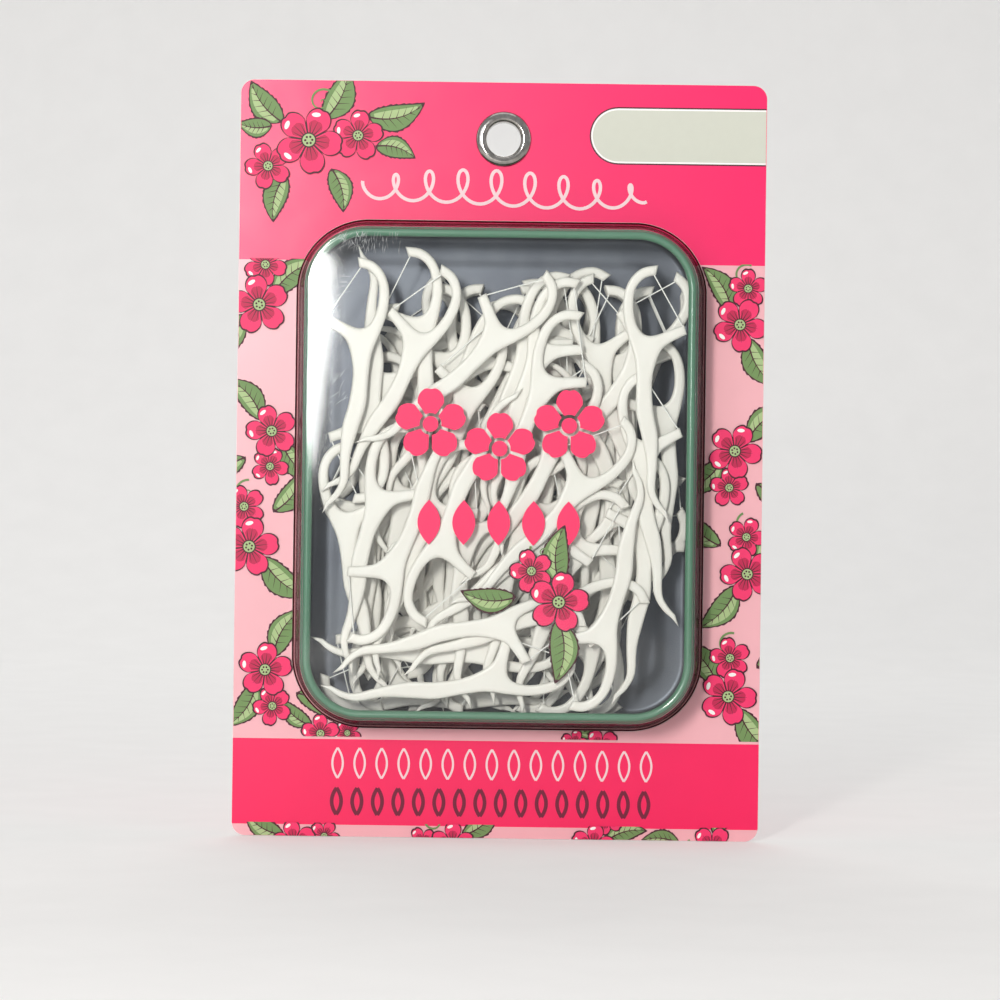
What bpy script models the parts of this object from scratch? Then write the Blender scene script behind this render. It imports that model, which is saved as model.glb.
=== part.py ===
# A retail pack that hangs on a peg: an open tin of floss picks under a clear
# blister, which is trapped between the two plies of a printed card.
# The origin is the centre of the eyelet, halfway through the card. The pack
# faces -Y, X runs along its width and Z is up.

import math

import bmesh
import bpy
from mathutils import Matrix, Vector, geometry

mm = 0.001
cut_overrun = 1 * mm
touching_gap = 0.3 * mm

# card
card_width = 150 * mm
card_height = 215.5 * mm
card_corner_radius = 4 * mm
ply_thickness = 0.45 * mm
glue_gap = 0.1 * mm

# eyelet
eyelet_drop = 16.2 * mm
eyelet_bore = 9.8 * mm
eyelet_tube_wall = 0.6 * mm
eyelet_crest_diameter = 12.9 * mm
eyelet_flange_diameter = 15.7 * mm
eyelet_crest_height = 1.2 * mm
eyelet_sheet = 0.4 * mm
eyelet_roll_diameter = 13.4 * mm
washer_dome = 0.5 * mm
turning_steps = 28

# tin base
tin_width = 109 * mm
tin_length = 137 * mm
tin_corner_radius = 16.7 * mm
tin_sheet = 0.3 * mm
tin_drop = 4.25 * mm
rim_curl_diameter = 2.4 * mm
floor_bend_radius = 2.5 * mm
panel_inset = 7 * mm
panel_step = 0.5 * mm
panel_slope = 0.8 * mm

# lid
skirt_depth = 11 * mm
skirt_clearance = 0.3 * mm
skirt_bend_radius = 1.6 * mm
hem_height = 2.2 * mm
hem_thickness = 0.6 * mm
lid_to_door_gap = 0.2 * mm

# blister
sheet_thickness = 0.35 * mm
bubble_clearance = 0.35 * mm
bubble_draft = 2.5 * mm
bubble_bend_radius = 1.5 * mm
bubble_foot_radius = 0.7 * mm
bubble_dome = 0.8 * mm
bubble_dome_shares = (0.92, 0.7, 0.35)

# windows of the plies round the bubble and the door
window_clearance = 0.4 * mm
door_land = 0.9 * mm

corner_steps = 6
bend_steps = 3
curl_steps = 8
most_pushes = 30
curl_start_degrees = 180
curl_sweep_degrees = 240

# floss pick, with its parts as shares of its length; the origin is the bottom
# of the U of its head, and the handle runs down
pick_length = 72 * mm
pick_thickness = 1.7 * mm
layer_gap = 0.3 * mm
rim_above_pile = 1.5 * mm
strand_diameter = 0.7 * mm
strand_bite = 0.8 * mm
outer_edge_shares = (
    (0.1431, -0.7160), (0.1150, -0.6830), (0.0780, -0.6500), (0.0450, -0.5900),
    (0.0360, -0.4900), (0.0050, -0.3800), (-0.0220, -0.2900), (-0.0290, -0.1900),
    (-0.0420, -0.0950), (-0.0730, -0.0150), (-0.0990, 0.0650), (-0.1060, 0.1500),
    (-0.0850, 0.2180), (-0.0420, 0.2620), (0.0180, 0.2780),
)
inner_edge_shares = (
    (0.0120, 0.2390), (-0.0280, 0.2250), (-0.0580, 0.1900), (-0.0665, 0.1440),
    (-0.0590, 0.0760), (-0.0350, 0.0230), (-0.0020, 0.0030), (0.0350, 0.0090),
    (0.0760, 0.0280), (0.1360, 0.0560),
)
wing_edge_shares = (
    (0.1500, 0.0200), (0.0950, -0.0130), (0.0600, -0.0440), (0.0400, -0.1000),
    (0.0310, -0.1800), (0.0460, -0.2900), (0.0700, -0.3800), (0.0770, -0.4900),
    (0.0780, -0.5900), (0.1010, -0.6380), (0.1290, -0.6700),
)
strand_end_shares = ((0.0060, 0.2370), (0.1290, 0.0530))

# front picks of the pile in the order in which they are laid, as shares of half
# the tin's width and length for the bottom of the U, then the turn in degrees,
# clockwise seen from the front, and whether the pick lies face down
front_places_with_shares = (
    (-0.598, 0.412, 9, False), (0.125, 0.451, 25, False),
    (0.503, 0.540, -8, False), (0.000, -0.715, 82, True),
    (-0.422, 0.641, -8, True), (0.752, 0.572, 27, True),
    (-0.780, -0.161, -3, False), (0.743, -0.182, -2, True),
    (-0.147, -0.197, 10, False), (-0.413, 0.575, 20, True),
    (0.231, 0.542, 25, False), (0.740, 0.143, 0, False),
    (0.053, -0.816, 75, True), (0.340, -0.242, 62, False),
)

# rear picks lie in rows across the tin. Each column has its share of the half
# width and two shares of the half length, for the first and the next two rows
rear_row_count = 6
rear_column_shares = (
    (-0.66, -0.12, -0.12), (-0.22, 0.50, -0.12), (0.22, -0.12, 0.50), (0.66, 0.50, 0.50),
)
rear_turn_degrees = 9
rear_shift_share = 0.05

# places through the pack's depth, from the middle of the card forwards
ply_inner_face = sheet_thickness / 2 + glue_gap
card_half_depth = ply_inner_face + ply_thickness
lid_back = ply_inner_face - lid_to_door_gap
lid_border = lid_back - panel_step
floor_back = lid_border - tin_sheet - touching_gap
floor_front = floor_back - tin_sheet
pile_back = floor_front - panel_step - layer_gap
layer_pitch = pick_thickness + layer_gap

# places up and down the pack
card_centre_z = eyelet_drop - card_height / 2
tin_centre_z = card_centre_z - tin_drop


def clear_scene():
    for thing in list(bpy.data.objects):
        bpy.data.objects.remove(thing, do_unlink=True)


def finish(name, colour, roughness, metallic=0.0, clear=False):
    material = bpy.data.materials.new(name)
    material.use_nodes = True
    shader = material.node_tree.nodes["Principled BSDF"]
    shader.inputs["Base Color"].default_value = (*colour, 1)
    shader.inputs["Roughness"].default_value = roughness
    shader.inputs["Metallic"].default_value = metallic
    if clear:
        shader.inputs["Transmission Weight"].default_value = 1
    material.diffuse_color = (*colour, 1)
    return material


def add_object(name, shape, material):
    mesh = bpy.data.meshes.new(name)
    bmesh.ops.recalc_face_normals(shape, faces=shape.faces)
    shape.to_mesh(mesh)
    shape.free()
    mesh.materials.append(material)
    thing = bpy.data.objects.new(name, mesh)
    bpy.context.scene.collection.objects.link(thing)
    mesh.shade_smooth()
    mesh.set_sharp_from_angle(angle=math.radians(30))
    return thing


def rounded_outline(width, height, radius, y):
    """The points of a rounded rectangle in the plane at y, from its lower right corner round."""
    points = []
    centres = ((1, -1, -90), (1, 1, 0), (-1, 1, 90), (-1, -1, 180))
    for side_x, side_z, start in centres:
        centre_x = side_x * (width / 2 - radius)
        centre_z = side_z * (height / 2 - radius)
        for step in range(corner_steps + 1):
            angle = math.radians(start + 90 * step / corner_steps)
            x = centre_x + radius * math.cos(angle)
            z = centre_z + radius * math.sin(angle)
            points.append(Vector((x, y, z)))
    return points


def loft(rings, closed=False):
    """A solid skinned over rings of equally many points, capped at both ends unless it closes on itself."""
    shape = bmesh.new()
    rows = [[shape.verts.new(point) for point in ring] for ring in rings]
    pairs = list(zip(rows, rows[1:]))
    if closed:
        pairs.append((rows[-1], rows[0]))
    else:
        shape.faces.new(rows[0])
        shape.faces.new(rows[-1])
    for first, second in pairs:
        for index in range(len(first)):
            after = (index + 1) % len(first)
            corners = (first[index], first[after], second[after], second[index])
            shape.faces.new(corners)
    return shape


def tin_outline(inset, y):
    """The tin's plan drawn in by inset, or let out where it is negative."""
    width = tin_width - 2 * inset
    height = tin_length - 2 * inset
    return rounded_outline(width, height, tin_corner_radius - inset, y)


def arc(centre_inset, centre_y, radius, start, sweep, steps):
    """Places (inset, y) round a bend of the sheet. 0 points inwards and 90 to the front."""
    places = []
    for step in range(steps + 1):
        angle = math.radians(start + sweep * step / steps)
        inset = centre_inset + radius * math.cos(angle)
        places.append((inset, centre_y - radius * math.sin(angle)))
    return places


def turned(profile):
    """A ring turned round the Y axis from a closed profile of (radius, y) places."""
    rings = []
    for radius, y in profile:
        ring = []
        for step in range(turning_steps):
            angle = 2 * math.pi * step / turning_steps
            ring.append(Vector((radius * math.cos(angle), y, radius * math.sin(angle))))
        rings.append(ring)
    return loft(rings, closed=True)


def cut_hole(thing, cutter):
    boolean = thing.modifiers.new("eyelet hole", "BOOLEAN")
    boolean.operation = "DIFFERENCE"
    boolean.object = cutter


def build_hole_cutter():
    """The hole for the eyelet's barrel through both plies and the blister's flange."""
    radius = eyelet_bore / 2 + eyelet_tube_wall + touching_gap
    reach = card_half_depth + cut_overrun
    rings = []
    for y in (-reach, reach):
        ring = []
        for step in range(turning_steps):
            angle = 2 * math.pi * step / turning_steps
            ring.append(Vector((radius * math.cos(angle), y, radius * math.sin(angle))))
        rings.append(ring)
    cutter = add_object("eyelet_hole_cutter", loft(rings), board)
    cutter.hide_render = True
    cutter.display_type = "WIRE"
    return cutter


def card_outline(y):
    points = rounded_outline(card_width, card_height, card_corner_radius, y)
    return [point + Vector((0, 0, card_centre_z)) for point in points]


def moved_to_tin(points):
    return [point + Vector((0, 0, tin_centre_z)) for point in points]


def build_ply(name, back, front, inset, material, cutter):
    """A ply of the card between two faces, with a window that is the tin's plan let out by -inset."""
    outer = [card_outline(back), card_outline(front)]
    inner = [moved_to_tin(tin_outline(inset, y)) for y in (front, back)]
    ply = add_object(name, loft(outer + inner, closed=True), material)
    cut_hole(ply, cutter)
    return ply


# the bubble's foot stands this far outside the tin's wall, on its outer face
foot_offset = bubble_clearance + sheet_thickness + bubble_draft
window_inset = -(foot_offset + bubble_foot_radius + window_clearance)
door_inset = -(skirt_clearance + tin_sheet + hem_thickness + door_land)


def bubble_rings(offset, front, bend_radius, foot_radius, foot_y):
    """One face of the bubble: its foot, its drafted wall, the bend and the slightly domed front."""
    slope = bubble_draft / (foot_y - front)
    wall_top = offset + slope * bend_radius
    places = [(-(offset + bubble_draft + foot_radius), foot_y)]
    places.append((-(offset + bubble_draft), foot_y - foot_radius))
    places += arc(
        bend_radius - wall_top, front + bend_radius, bend_radius, 180, -90, bend_steps
    )
    rings = [moved_to_tin(tin_outline(inset, y)) for inset, y in places]
    for share in bubble_dome_shares:
        y = front - bubble_dome * (1 - share * share)
        ring = tin_outline(bend_radius - wall_top, y)
        flat = [Vector((point.x * share, point.y, point.z * share)) for point in ring]
        rings.append(moved_to_tin(flat))
    return rings


def build_blister(cutter):
    """The flange is as large as the card. The bubble's hollow is open at the back."""
    outer = bubble_rings(
        bubble_clearance + sheet_thickness,
        bubble_outer_front,
        bubble_bend_radius,
        bubble_foot_radius,
        -sheet_thickness / 2,
    )
    inner = bubble_rings(
        bubble_clearance,
        bubble_inner_front,
        bubble_bend_radius - sheet_thickness,
        bubble_foot_radius,
        sheet_thickness / 2,
    )
    rings = list(reversed(outer))
    rings.append(card_outline(-sheet_thickness / 2))
    rings.append(card_outline(sheet_thickness / 2))
    rings += inner
    blister = add_object("blister", loft(rings), clear_plastic)
    cut_hole(blister, cutter)
    return blister


def build_tin_base():
    """Drawn from one sheet, with a pressed-in floor panel and the rim curled inwards."""
    curl = rim_curl_diameter / 2
    outer = [(panel_inset + panel_slope, floor_back - panel_step)]
    outer.append((panel_inset, floor_back))
    outer += arc(
        floor_bend_radius, floor_back - floor_bend_radius, floor_bend_radius,
        -90, -90, bend_steps,
    )
    outer += arc(
        curl, rim_front + curl, curl, curl_start_degrees, -curl_sweep_degrees, curl_steps
    )
    inner = [(tin_sheet, rim_front + rim_curl_diameter)]
    inner += arc(
        floor_bend_radius, floor_back - floor_bend_radius,
        floor_bend_radius - tin_sheet, 180, 90, bend_steps,
    )
    inner.append((panel_inset, floor_front))
    inner.append((panel_inset + panel_slope, floor_front - panel_step))
    rings = [moved_to_tin(tin_outline(inset, y)) for inset, y in outer + inner]
    return add_object("tin_base", loft(rings), green_enamel)


def build_tin_lid():
    """A slip lid with a raised panel and a hemmed skirt, nested over the back of the base."""
    skirt_face = skirt_clearance + tin_sheet
    edge = lid_border - skirt_depth
    bend = skirt_bend_radius
    outer = [(panel_inset + panel_slope, lid_back), (panel_inset, lid_border)]
    outer += arc(bend - skirt_face, lid_border - bend, bend, -90, -90, bend_steps)
    hem_face = -(skirt_face + hem_thickness)
    outer.append((-skirt_face, edge + hem_height))
    outer.append((hem_face, edge + hem_height - hem_thickness))
    outer.append((hem_face, edge + hem_thickness))
    outer.append((-skirt_face, edge))
    inner = [(-skirt_clearance, edge)]
    inner += arc(
        bend - skirt_face, lid_border - bend, bend - tin_sheet, 180, 90, bend_steps
    )
    inner.append((panel_inset, lid_border - tin_sheet))
    inner.append((panel_inset + panel_slope, lid_back - tin_sheet))
    rings = [moved_to_tin(tin_outline(inset, y)) for inset, y in outer + inner]
    return add_object("tin_lid", loft(rings), green_enamel)


def build_door():
    """The panel of the back ply that tears out along its perforated edge."""
    rings = []
    for y in (ply_inner_face, card_half_depth):
        rings.append(moved_to_tin(tin_outline(door_inset + touching_gap, y)))
    return add_object("back_door", loft(rings), board)


def build_eyelet():
    """A barrel with a domed front flange, rolled over a washer behind the card."""
    bore = eyelet_bore / 2
    tube = bore + eyelet_tube_wall
    crest = eyelet_crest_diameter / 2
    rim = eyelet_flange_diameter / 2
    roll = eyelet_roll_diameter / 2
    seat = card_half_depth + glue_gap
    top = seat + eyelet_crest_height
    mouth = (bore + crest) / 2
    roll_middle = (tube + roll) / 2
    washer_back = seat + washer_dome + eyelet_sheet
    roll_seat = washer_back + touching_gap
    barrel = (
        (bore, roll_seat + eyelet_sheet),
        (bore, -(top - eyelet_sheet)),
        (mouth, -top),
        (crest, -(top - eyelet_sheet / 2)),
        (rim, -(seat + eyelet_sheet)),
        (rim, -seat),
        (tube, -seat),
        (tube, roll_seat),
        (roll, roll_seat),
        (roll, roll_seat + eyelet_sheet),
        (roll_middle, roll_seat + eyelet_sheet + eyelet_sheet),
    )
    hole = tube + touching_gap
    washer = (
        (hole, seat),
        (rim, seat),
        (rim, seat + eyelet_sheet),
        (roll, washer_back),
        (hole, washer_back),
    )
    add_object("eyelet_barrel", turned(barrel), bright_steel)
    add_object("eyelet_washer", turned(washer), bright_steel)


def smooth_run(shares, steps=1):
    """The shares as places in metres, with extra points on a smooth curve between them."""
    places = [Vector((x * pick_length, z * pick_length)) for x, z in shares]
    run = []
    for index in range(len(places) - 1):
        before = places[max(index - 1, 0)]
        start = places[index]
        end = places[index + 1]
        after = places[min(index + 2, len(places) - 1)]
        for step in range(steps):
            t = step / steps
            a = 2 * start
            b = (end - before) * t
            c = (2 * before - 5 * start + 4 * end - after) * t ** 2
            d = (3 * start - before - 3 * end + after) * t ** 3
            run.append((a + b + c + d) / 2)
    run.append(places[-1])
    return run


def pick_outline():
    run = smooth_run(outer_edge_shares) + smooth_run(inner_edge_shares)
    return run + smooth_run(wing_edge_shares)


def lie_in_plan(across_share, up_share, turn, face_down):
    """How a pick lies as seen from the front, before its depth in the pile is known."""
    x = across_share * tin_width / 2
    z = tin_centre_z + up_share * tin_length / 2
    turned_about = Matrix.Rotation(math.radians(turn), 4, "Y")
    mirrored = Matrix.Rotation(math.pi if face_down else 0, 4, "Z")
    return Matrix.Translation((x, 0, z)) @ turned_about @ mirrored


def seen_from_front(points, lie):
    """Places of a pick's own plan as (x, z) places from the tin's middle."""
    places = [lie @ Vector((point.x, 0, point.y)) for point in points]
    return [Vector((place.x, place.z - tin_centre_z)) for place in places]


def strand_surround():
    """The corners of the room that the strand takes up in a pick's own plan."""
    start, end = (Vector(share) * pick_length for share in strand_end_shares)
    aside = (end - start).orthogonal().normalized() * (strand_diameter / 2 + touching_gap)
    return [start + aside, end + aside, end - aside, start - aside]


def push_from_wall(outline, inset):
    """The shift that brings an outline inside the tin's plan, drawn in by inset."""
    core_x = tin_width / 2 - tin_corner_radius
    core_z = tin_length / 2 - tin_corner_radius
    reach = tin_corner_radius - inset
    shift = Vector((0, 0))
    for attempt in range(most_pushes):
        worst = Vector((0, 0))
        for point in outline:
            place = point + shift
            core = Vector((
                max(-core_x, min(core_x, place.x)), max(-core_z, min(core_z, place.y))
            ))
            over = (place - core).length - reach
            if over > worst.length:
                worst = (place - core).normalized() * over
        shift -= worst
    return shift


def loops_cross(first, second):
    for i in range(len(first)):
        for j in range(len(second)):
            ends = (first[i - 1], first[i], second[j - 1], second[j])
            if geometry.intersect_line_line_2d(*ends):
                return True
    return False


def rear_places():
    """Rows of picks across the tin, leaning one way and then the other from row to row."""
    places = []
    for row in range(rear_row_count):
        lean = 1 if row % 2 == 0 else -1
        for across, *ups in rear_column_shares:
            up = ups[row // 2 % 2]
            place = (across + lean * rear_shift_share, up, lean * rear_turn_degrees, lean < 0)
            places.append(place)
    return places


def lay_pile(places, insets):
    """Drops each pick on those that it crosses, clear of the wall. Gives lies in plan with layers."""
    laid = []
    for place, inset in zip(places, insets):
        lie = lie_in_plan(*place)
        outline, strand = (
            seen_from_front(points, lie) for points in (pick_outline(), strand_surround())
        )
        shift = push_from_wall(outline, inset)
        loops = [[point + shift for point in loop] for loop in (outline, strand)]
        layer = 0
        for _, other_layer, others in laid:
            crossed = any(loops_cross(loop, other) for loop in loops for other in others)
            if crossed and other_layer >= layer:
                layer = other_layer + 1
        laid.append((Matrix.Translation((shift.x, 0, shift.y)) @ lie, layer, loops))
    return [(lie, layer) for lie, layer, loops in laid]


def full_tin():
    """The pile, with its front layer pushed in from the rim's curl as well as from the wall."""
    places = rear_places() + list(front_places_with_shares)
    wall = tin_sheet + touching_gap
    rim = rim_curl_diameter + touching_gap
    pile = lay_pile(places, [wall] * len(places))
    front = max(layer for lie, layer in pile)
    return lay_pile(places, [rim if layer == front else wall for lie, layer in pile])


# the tin is as deep as its pile of picks needs
pile = full_tin()
pile_layers = 1 + max(layer for lie, layer in pile)
pile_front = pile_back - pile_layers * layer_pitch + layer_gap
rim_front = pile_front - rim_above_pile
bubble_inner_front = rim_front - touching_gap
bubble_outer_front = bubble_inner_front - sheet_thickness


def pick_shape():
    outline = pick_outline()
    half = pick_thickness / 2
    return loft([[Vector((p.x, y, p.y)) for p in outline] for y in (-half, half)])


def strand_shape(shortening):
    """The floss from the arm's edge to the wing's, drawn in by shortening at each end."""
    start, end = (
        Vector((x * pick_length, 0, z * pick_length)) for x, z in strand_end_shares
    )
    along = (end - start).normalized()
    length = (end - start).length - 2 * shortening
    middle = Matrix.Translation((start + end) / 2)
    turn = along.to_track_quat("Z", "Y").to_matrix().to_4x4()
    shape = bmesh.new()
    bmesh.ops.create_cone(
        shape, cap_ends=True, segments=6, radius1=strand_diameter / 2,
        radius2=strand_diameter / 2, depth=length, matrix=middle @ turn,
    )
    return shape


def strung_pick_mesh():
    """A pick and its strand as one body, for the rear of the pile."""
    pick = add_object("strung_pick", pick_shape(), white_plastic)
    strand = add_object("strung_strand", strand_shape(-strand_bite), white_plastic)
    union = pick.modifiers.new("strand", "BOOLEAN")
    union.operation = "UNION"
    union.object = strand
    seen = pick.evaluated_get(bpy.context.evaluated_depsgraph_get())
    mesh = bpy.data.meshes.new_from_object(seen)
    bpy.data.objects.remove(pick, do_unlink=True)
    bpy.data.objects.remove(strand, do_unlink=True)
    return mesh


def build_picks():
    """The rear picks are strung in one body each. Those in front have a strand of their own."""
    strung = strung_pick_mesh()
    rear_count = len(rear_places())
    for index, (lie, layer) in enumerate(pile):
        middle = pile_back - layer * layer_pitch - pick_thickness / 2
        place = Matrix.Translation((0, middle, 0)) @ lie
        name = f"pick_{index + 1:02d}"
        if index < rear_count:
            pick = bpy.data.objects.new(name, strung)
            bpy.context.scene.collection.objects.link(pick)
        else:
            pick = add_object(name, pick_shape(), white_plastic)
            shape = strand_shape(touching_gap + strand_diameter / 2)
            strand = add_object(f"{name}_floss", shape, floss)
            strand.matrix_world = place
        pick.matrix_world = place


clear_scene()
board = finish("printed board", (0.9, 0.05, 0.2), 0.3)
clear_plastic = finish("clear PET sheet", (0.95, 0.97, 0.97), 0.05, clear=True)
green_enamel = finish("green enamelled tinplate", (0.11, 0.26, 0.16), 0.25, 0.2)
bright_steel = finish("nickelled steel", (0.75, 0.75, 0.74), 0.2, 1)
white_plastic = finish("white polystyrene", (0.86, 0.86, 0.82), 0.4)
floss = finish("waxed floss", (0.92, 0.92, 0.9), 0.5)

hole_cutter = build_hole_cutter()
build_ply("front_ply", -ply_inner_face, -card_half_depth, window_inset, board, hole_cutter)
build_ply("back_ply", card_half_depth, ply_inner_face, door_inset, board, hole_cutter)
build_door()
build_blister(hole_cutter)
build_eyelet()
build_tin_base()
build_tin_lid()
build_picks()
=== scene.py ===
import math
import random

import bmesh
import bpy
import numpy as np
from mathutils import Matrix, Vector


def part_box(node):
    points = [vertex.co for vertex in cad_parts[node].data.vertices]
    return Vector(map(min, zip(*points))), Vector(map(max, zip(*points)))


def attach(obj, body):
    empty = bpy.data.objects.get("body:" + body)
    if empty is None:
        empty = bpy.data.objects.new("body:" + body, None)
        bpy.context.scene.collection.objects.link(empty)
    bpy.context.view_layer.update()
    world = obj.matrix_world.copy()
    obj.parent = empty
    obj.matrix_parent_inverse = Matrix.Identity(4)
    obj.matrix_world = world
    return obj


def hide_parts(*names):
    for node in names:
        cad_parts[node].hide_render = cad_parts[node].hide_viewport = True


# the looks of a floss pick travel tin in its hanging pack: printed card, clear
# blister, eyelet, enamelled tin and the loose picks in it
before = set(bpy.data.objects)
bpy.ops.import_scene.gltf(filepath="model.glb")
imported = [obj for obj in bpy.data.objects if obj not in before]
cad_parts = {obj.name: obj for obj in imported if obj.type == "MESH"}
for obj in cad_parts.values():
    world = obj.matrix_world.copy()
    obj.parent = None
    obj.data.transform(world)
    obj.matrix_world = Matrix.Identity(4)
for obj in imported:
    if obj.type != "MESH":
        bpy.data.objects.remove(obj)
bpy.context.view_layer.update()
mm = 0.001


# small tools

def toLinear(code):
    channels = [int(code[i:i + 2], 16) / 255 for i in (1, 3, 5)]
    linear = [c / 12.92 if c <= 0.04045 else ((c + 0.055) / 1.055) ** 2.4 for c in channels]
    return (*linear, 1.0)


def addNode(tree, kind, values=None, links=None, stops=None, into=None, **settings):
    # a node in links stands for its first output, and into names the socket that takes its own
    node = tree.nodes.new(kind)
    for name, value in settings.items():
        setattr(node, name, value)
    for name, value in (values or {}).items():
        node.inputs[name].default_value = value
    for name, source in (links or {}).items():
        tree.links.new(source.outputs[0] if hasattr(source, "outputs") else source, node.inputs[name])
    if stops:  # (place, hex colour) pairs of a colour ramp
        band = node.color_ramp
        while len(band.elements) < len(stops):
            band.elements.new(0.5)
        for element, (place, code) in zip(band.elements, stops):
            element.position = place
            element.color = toLinear(code)
    if into:
        end = tree.nodes["Material Output" if into == "Surface" else "Principled BSDF"]
        tree.links.new(node.outputs[0], end.inputs[into])
    return node


def startMaterial(name, values=None):
    # a material with the shader's values, its node tree and the object's coordinates
    material = bpy.data.materials.new(name)
    material.use_nodes = True
    tree = material.node_tree
    for socket, value in (values or {}).items():
        tree.nodes["Principled BSDF"].inputs[socket].default_value = value
    return material, tree, addNode(tree, "ShaderNodeTexCoord").outputs["Object"]


def shadeBase(tree, pattern, span, colour):
    # a base colour, hex or from a node, that the pattern makes darker and lighter
    shade = addNode(tree, "ShaderNodeMapRange", {"To Min": span[0], "To Max": span[1]}, {"Value": pattern})
    plain = isinstance(colour, str)
    addNode(
        tree, "ShaderNodeHueSaturation", {"Color": toLinear(colour)} if plain else {},
        {"Value": shade} if plain else {"Value": shade, "Color": colour}, into="Base Color",
    )


def addObject(name, data):
    thing = bpy.data.objects.new(name, data)
    bpy.context.scene.collection.objects.link(thing)
    return thing


def addPiece(name, mesh, materials, body, stands=(), place=None):
    for material in materials:
        if material.name not in mesh.materials:
            mesh.materials.append(material)
    piece = addObject(name, mesh)
    if place:
        piece.matrix_world = place
    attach(piece, body)
    if stands:
        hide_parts(*stands)
    return piece


def meshFrom(shape, name, smoothAngle=35):
    mesh = bpy.data.meshes.new(name)
    shape.to_mesh(mesh)
    shape.free()
    mesh.shade_smooth()
    mesh.set_sharp_from_angle(angle=math.radians(smoothAngle))
    return mesh


def evaluatedMesh(thing):
    bpy.context.view_layer.update()
    return bpy.data.meshes.new_from_object(thing.evaluated_get(bpy.context.evaluated_depsgraph_get()))


def arc(centre, wide, deep, start, end, steps):
    # places along an oval, between two angles in degrees
    angles = [math.radians(start + (end - start) * step / steps) for step in range(steps + 1)]
    return [(centre[0] + wide * math.cos(angle), centre[1] + deep * math.sin(angle)) for angle in angles]


def bendArc(centre, radius, start, sweep, steps):
    # places (inset, depth) round a bend: 0 degrees points inwards, 90 to the front
    return arc(centre, radius, -radius, start, start + sweep, steps)


def roundedLoop(width, height, radius, steps=16, centre=(0, 0)):
    points = []
    for sideX, sideZ, start in ((1, -1, -90), (1, 1, 0), (-1, 1, 90), (-1, -1, 180)):
        corner = (centre[0] + sideX * (width / 2 - radius), centre[1] + sideZ * (height / 2 - radius))
        points += [Vector(place) for place in arc(corner, radius, radius, start, start + 90, steps)]
    return points


def ringLoop(radius, steps):
    angles = [2 * math.pi * step / steps for step in range(steps)]
    return [Vector((radius * math.cos(angle), radius * math.sin(angle))) for angle in angles]


def ringAt(loop, y):
    return [Vector((point.x, y, point.y)) for point in loop]


def skin(shape, rows, slotOf=lambda strip: 0):
    # joins rows of equally many vertices; slotOf(i) is the material slot of strip i
    for number, (first, second) in enumerate(zip(rows, rows[1:])):
        for i in range(len(first)):
            j = (i + 1) % len(first)
            shape.faces.new((first[i], first[j], second[j], second[i])).material_index = slotOf(number)


def loft(rings, slotOf=lambda strip: 0, closed=False):
    # a skin over rings of points, closed into a loop or capped at both ends
    shape = bmesh.new()
    rows = [[shape.verts.new(point) for point in ring] for ring in rings]
    skin(shape, rows + rows[:1] if closed else rows, slotOf)
    if not closed:
        shape.faces.new(rows[0]).material_index = slotOf(0)
        shape.faces.new(rows[-1]).material_index = slotOf(len(rows) - 2)
    bmesh.ops.recalc_face_normals(shape, faces=shape.faces)
    return shape


# places taken from the frame
cardLow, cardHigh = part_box("front_ply")
backLow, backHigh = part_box("back_ply")
doorLow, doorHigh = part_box("back_door")
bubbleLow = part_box("blister")[0]
baseLow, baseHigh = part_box("tin_base")
lidLow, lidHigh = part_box("tin_lid")
cardHeight = cardHigh.z - cardLow.z
tinMiddleZ = (baseLow.z + baseHigh.z) / 2
tinWidth = baseHigh.x - baseLow.x
tinLength = baseHigh.z - baseLow.z
tin = {"cornerRadius": 16.7 * mm, "sheet": 0.3 * mm, "cornerSteps": 22}
standUp = Matrix.Rotation(math.radians(90), 4, "X")  # turns the XY plane up into XZ


def tinLoop(inset, share=1.0):
    # the tin's plan drawn in by inset, or let out where it is negative
    radius = (tin["cornerRadius"] - inset) * share
    width = (tinWidth - 2 * inset) * share
    height = (tinLength - 2 * inset) * share
    return roundedLoop(width, height, radius, tin["cornerSteps"], (0, tinMiddleZ))


# materials

def coatedBoard(name, stops):
    # folding boxboard, clay coated, offset printed and gloss varnished: flat strong
    # colour in bands, (mm below the top edge, colour), under a thin shine, with the
    # faintest mottle of the ink
    look = {
        "mottle": 9 * mm, "shades": (0.965, 1.03), "roughness": (0.34, 0.46),
        "fibre": 0.5 * mm, "fibreHeight": 0.006 * mm, "fibreStrength": 0.5,
    }
    material, tree, where = startMaterial(name, {"Coat Weight": 0.2, "Coat Roughness": 0.2, "IOR": 1.37})
    axes = addNode(tree, "ShaderNodeSeparateXYZ", links={0: where})
    below = addNode(
        tree, "ShaderNodeMapRange", {"From Min": cardHigh.z, "From Max": cardLow.z},
        {"Value": axes.outputs["Z"]},
    )
    bands = addNode(
        tree, "ShaderNodeValToRGB", links={0: below},
        stops=[(drop * mm / cardHeight, code) for drop, code in stops],
    )
    bands.color_ramp.interpolation = "CONSTANT"
    mottle = addNode(
        tree, "ShaderNodeTexNoise", {"Scale": 1 / look["mottle"], "Detail": 4}, {"Vector": where}
    )
    shadeBase(tree, mottle, look["shades"], bands)
    smooth, rough = look["roughness"]
    addNode(
        tree, "ShaderNodeMapRange", {"To Min": smooth, "To Max": rough}, {"Value": mottle}, into="Roughness"
    )
    fibre = addNode(  # drawn ten times as coarse as paper fibres, so that it shows
        tree, "ShaderNodeTexNoise", {"Scale": 1 / look["fibre"], "Detail": 2}, {"Vector": where}
    )
    addNode(
        tree, "ShaderNodeBump", {"Distance": look["fibreHeight"], "Strength": look["fibreStrength"]},
        {"Height": fibre}, into="Normal",
    )
    return material


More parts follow.
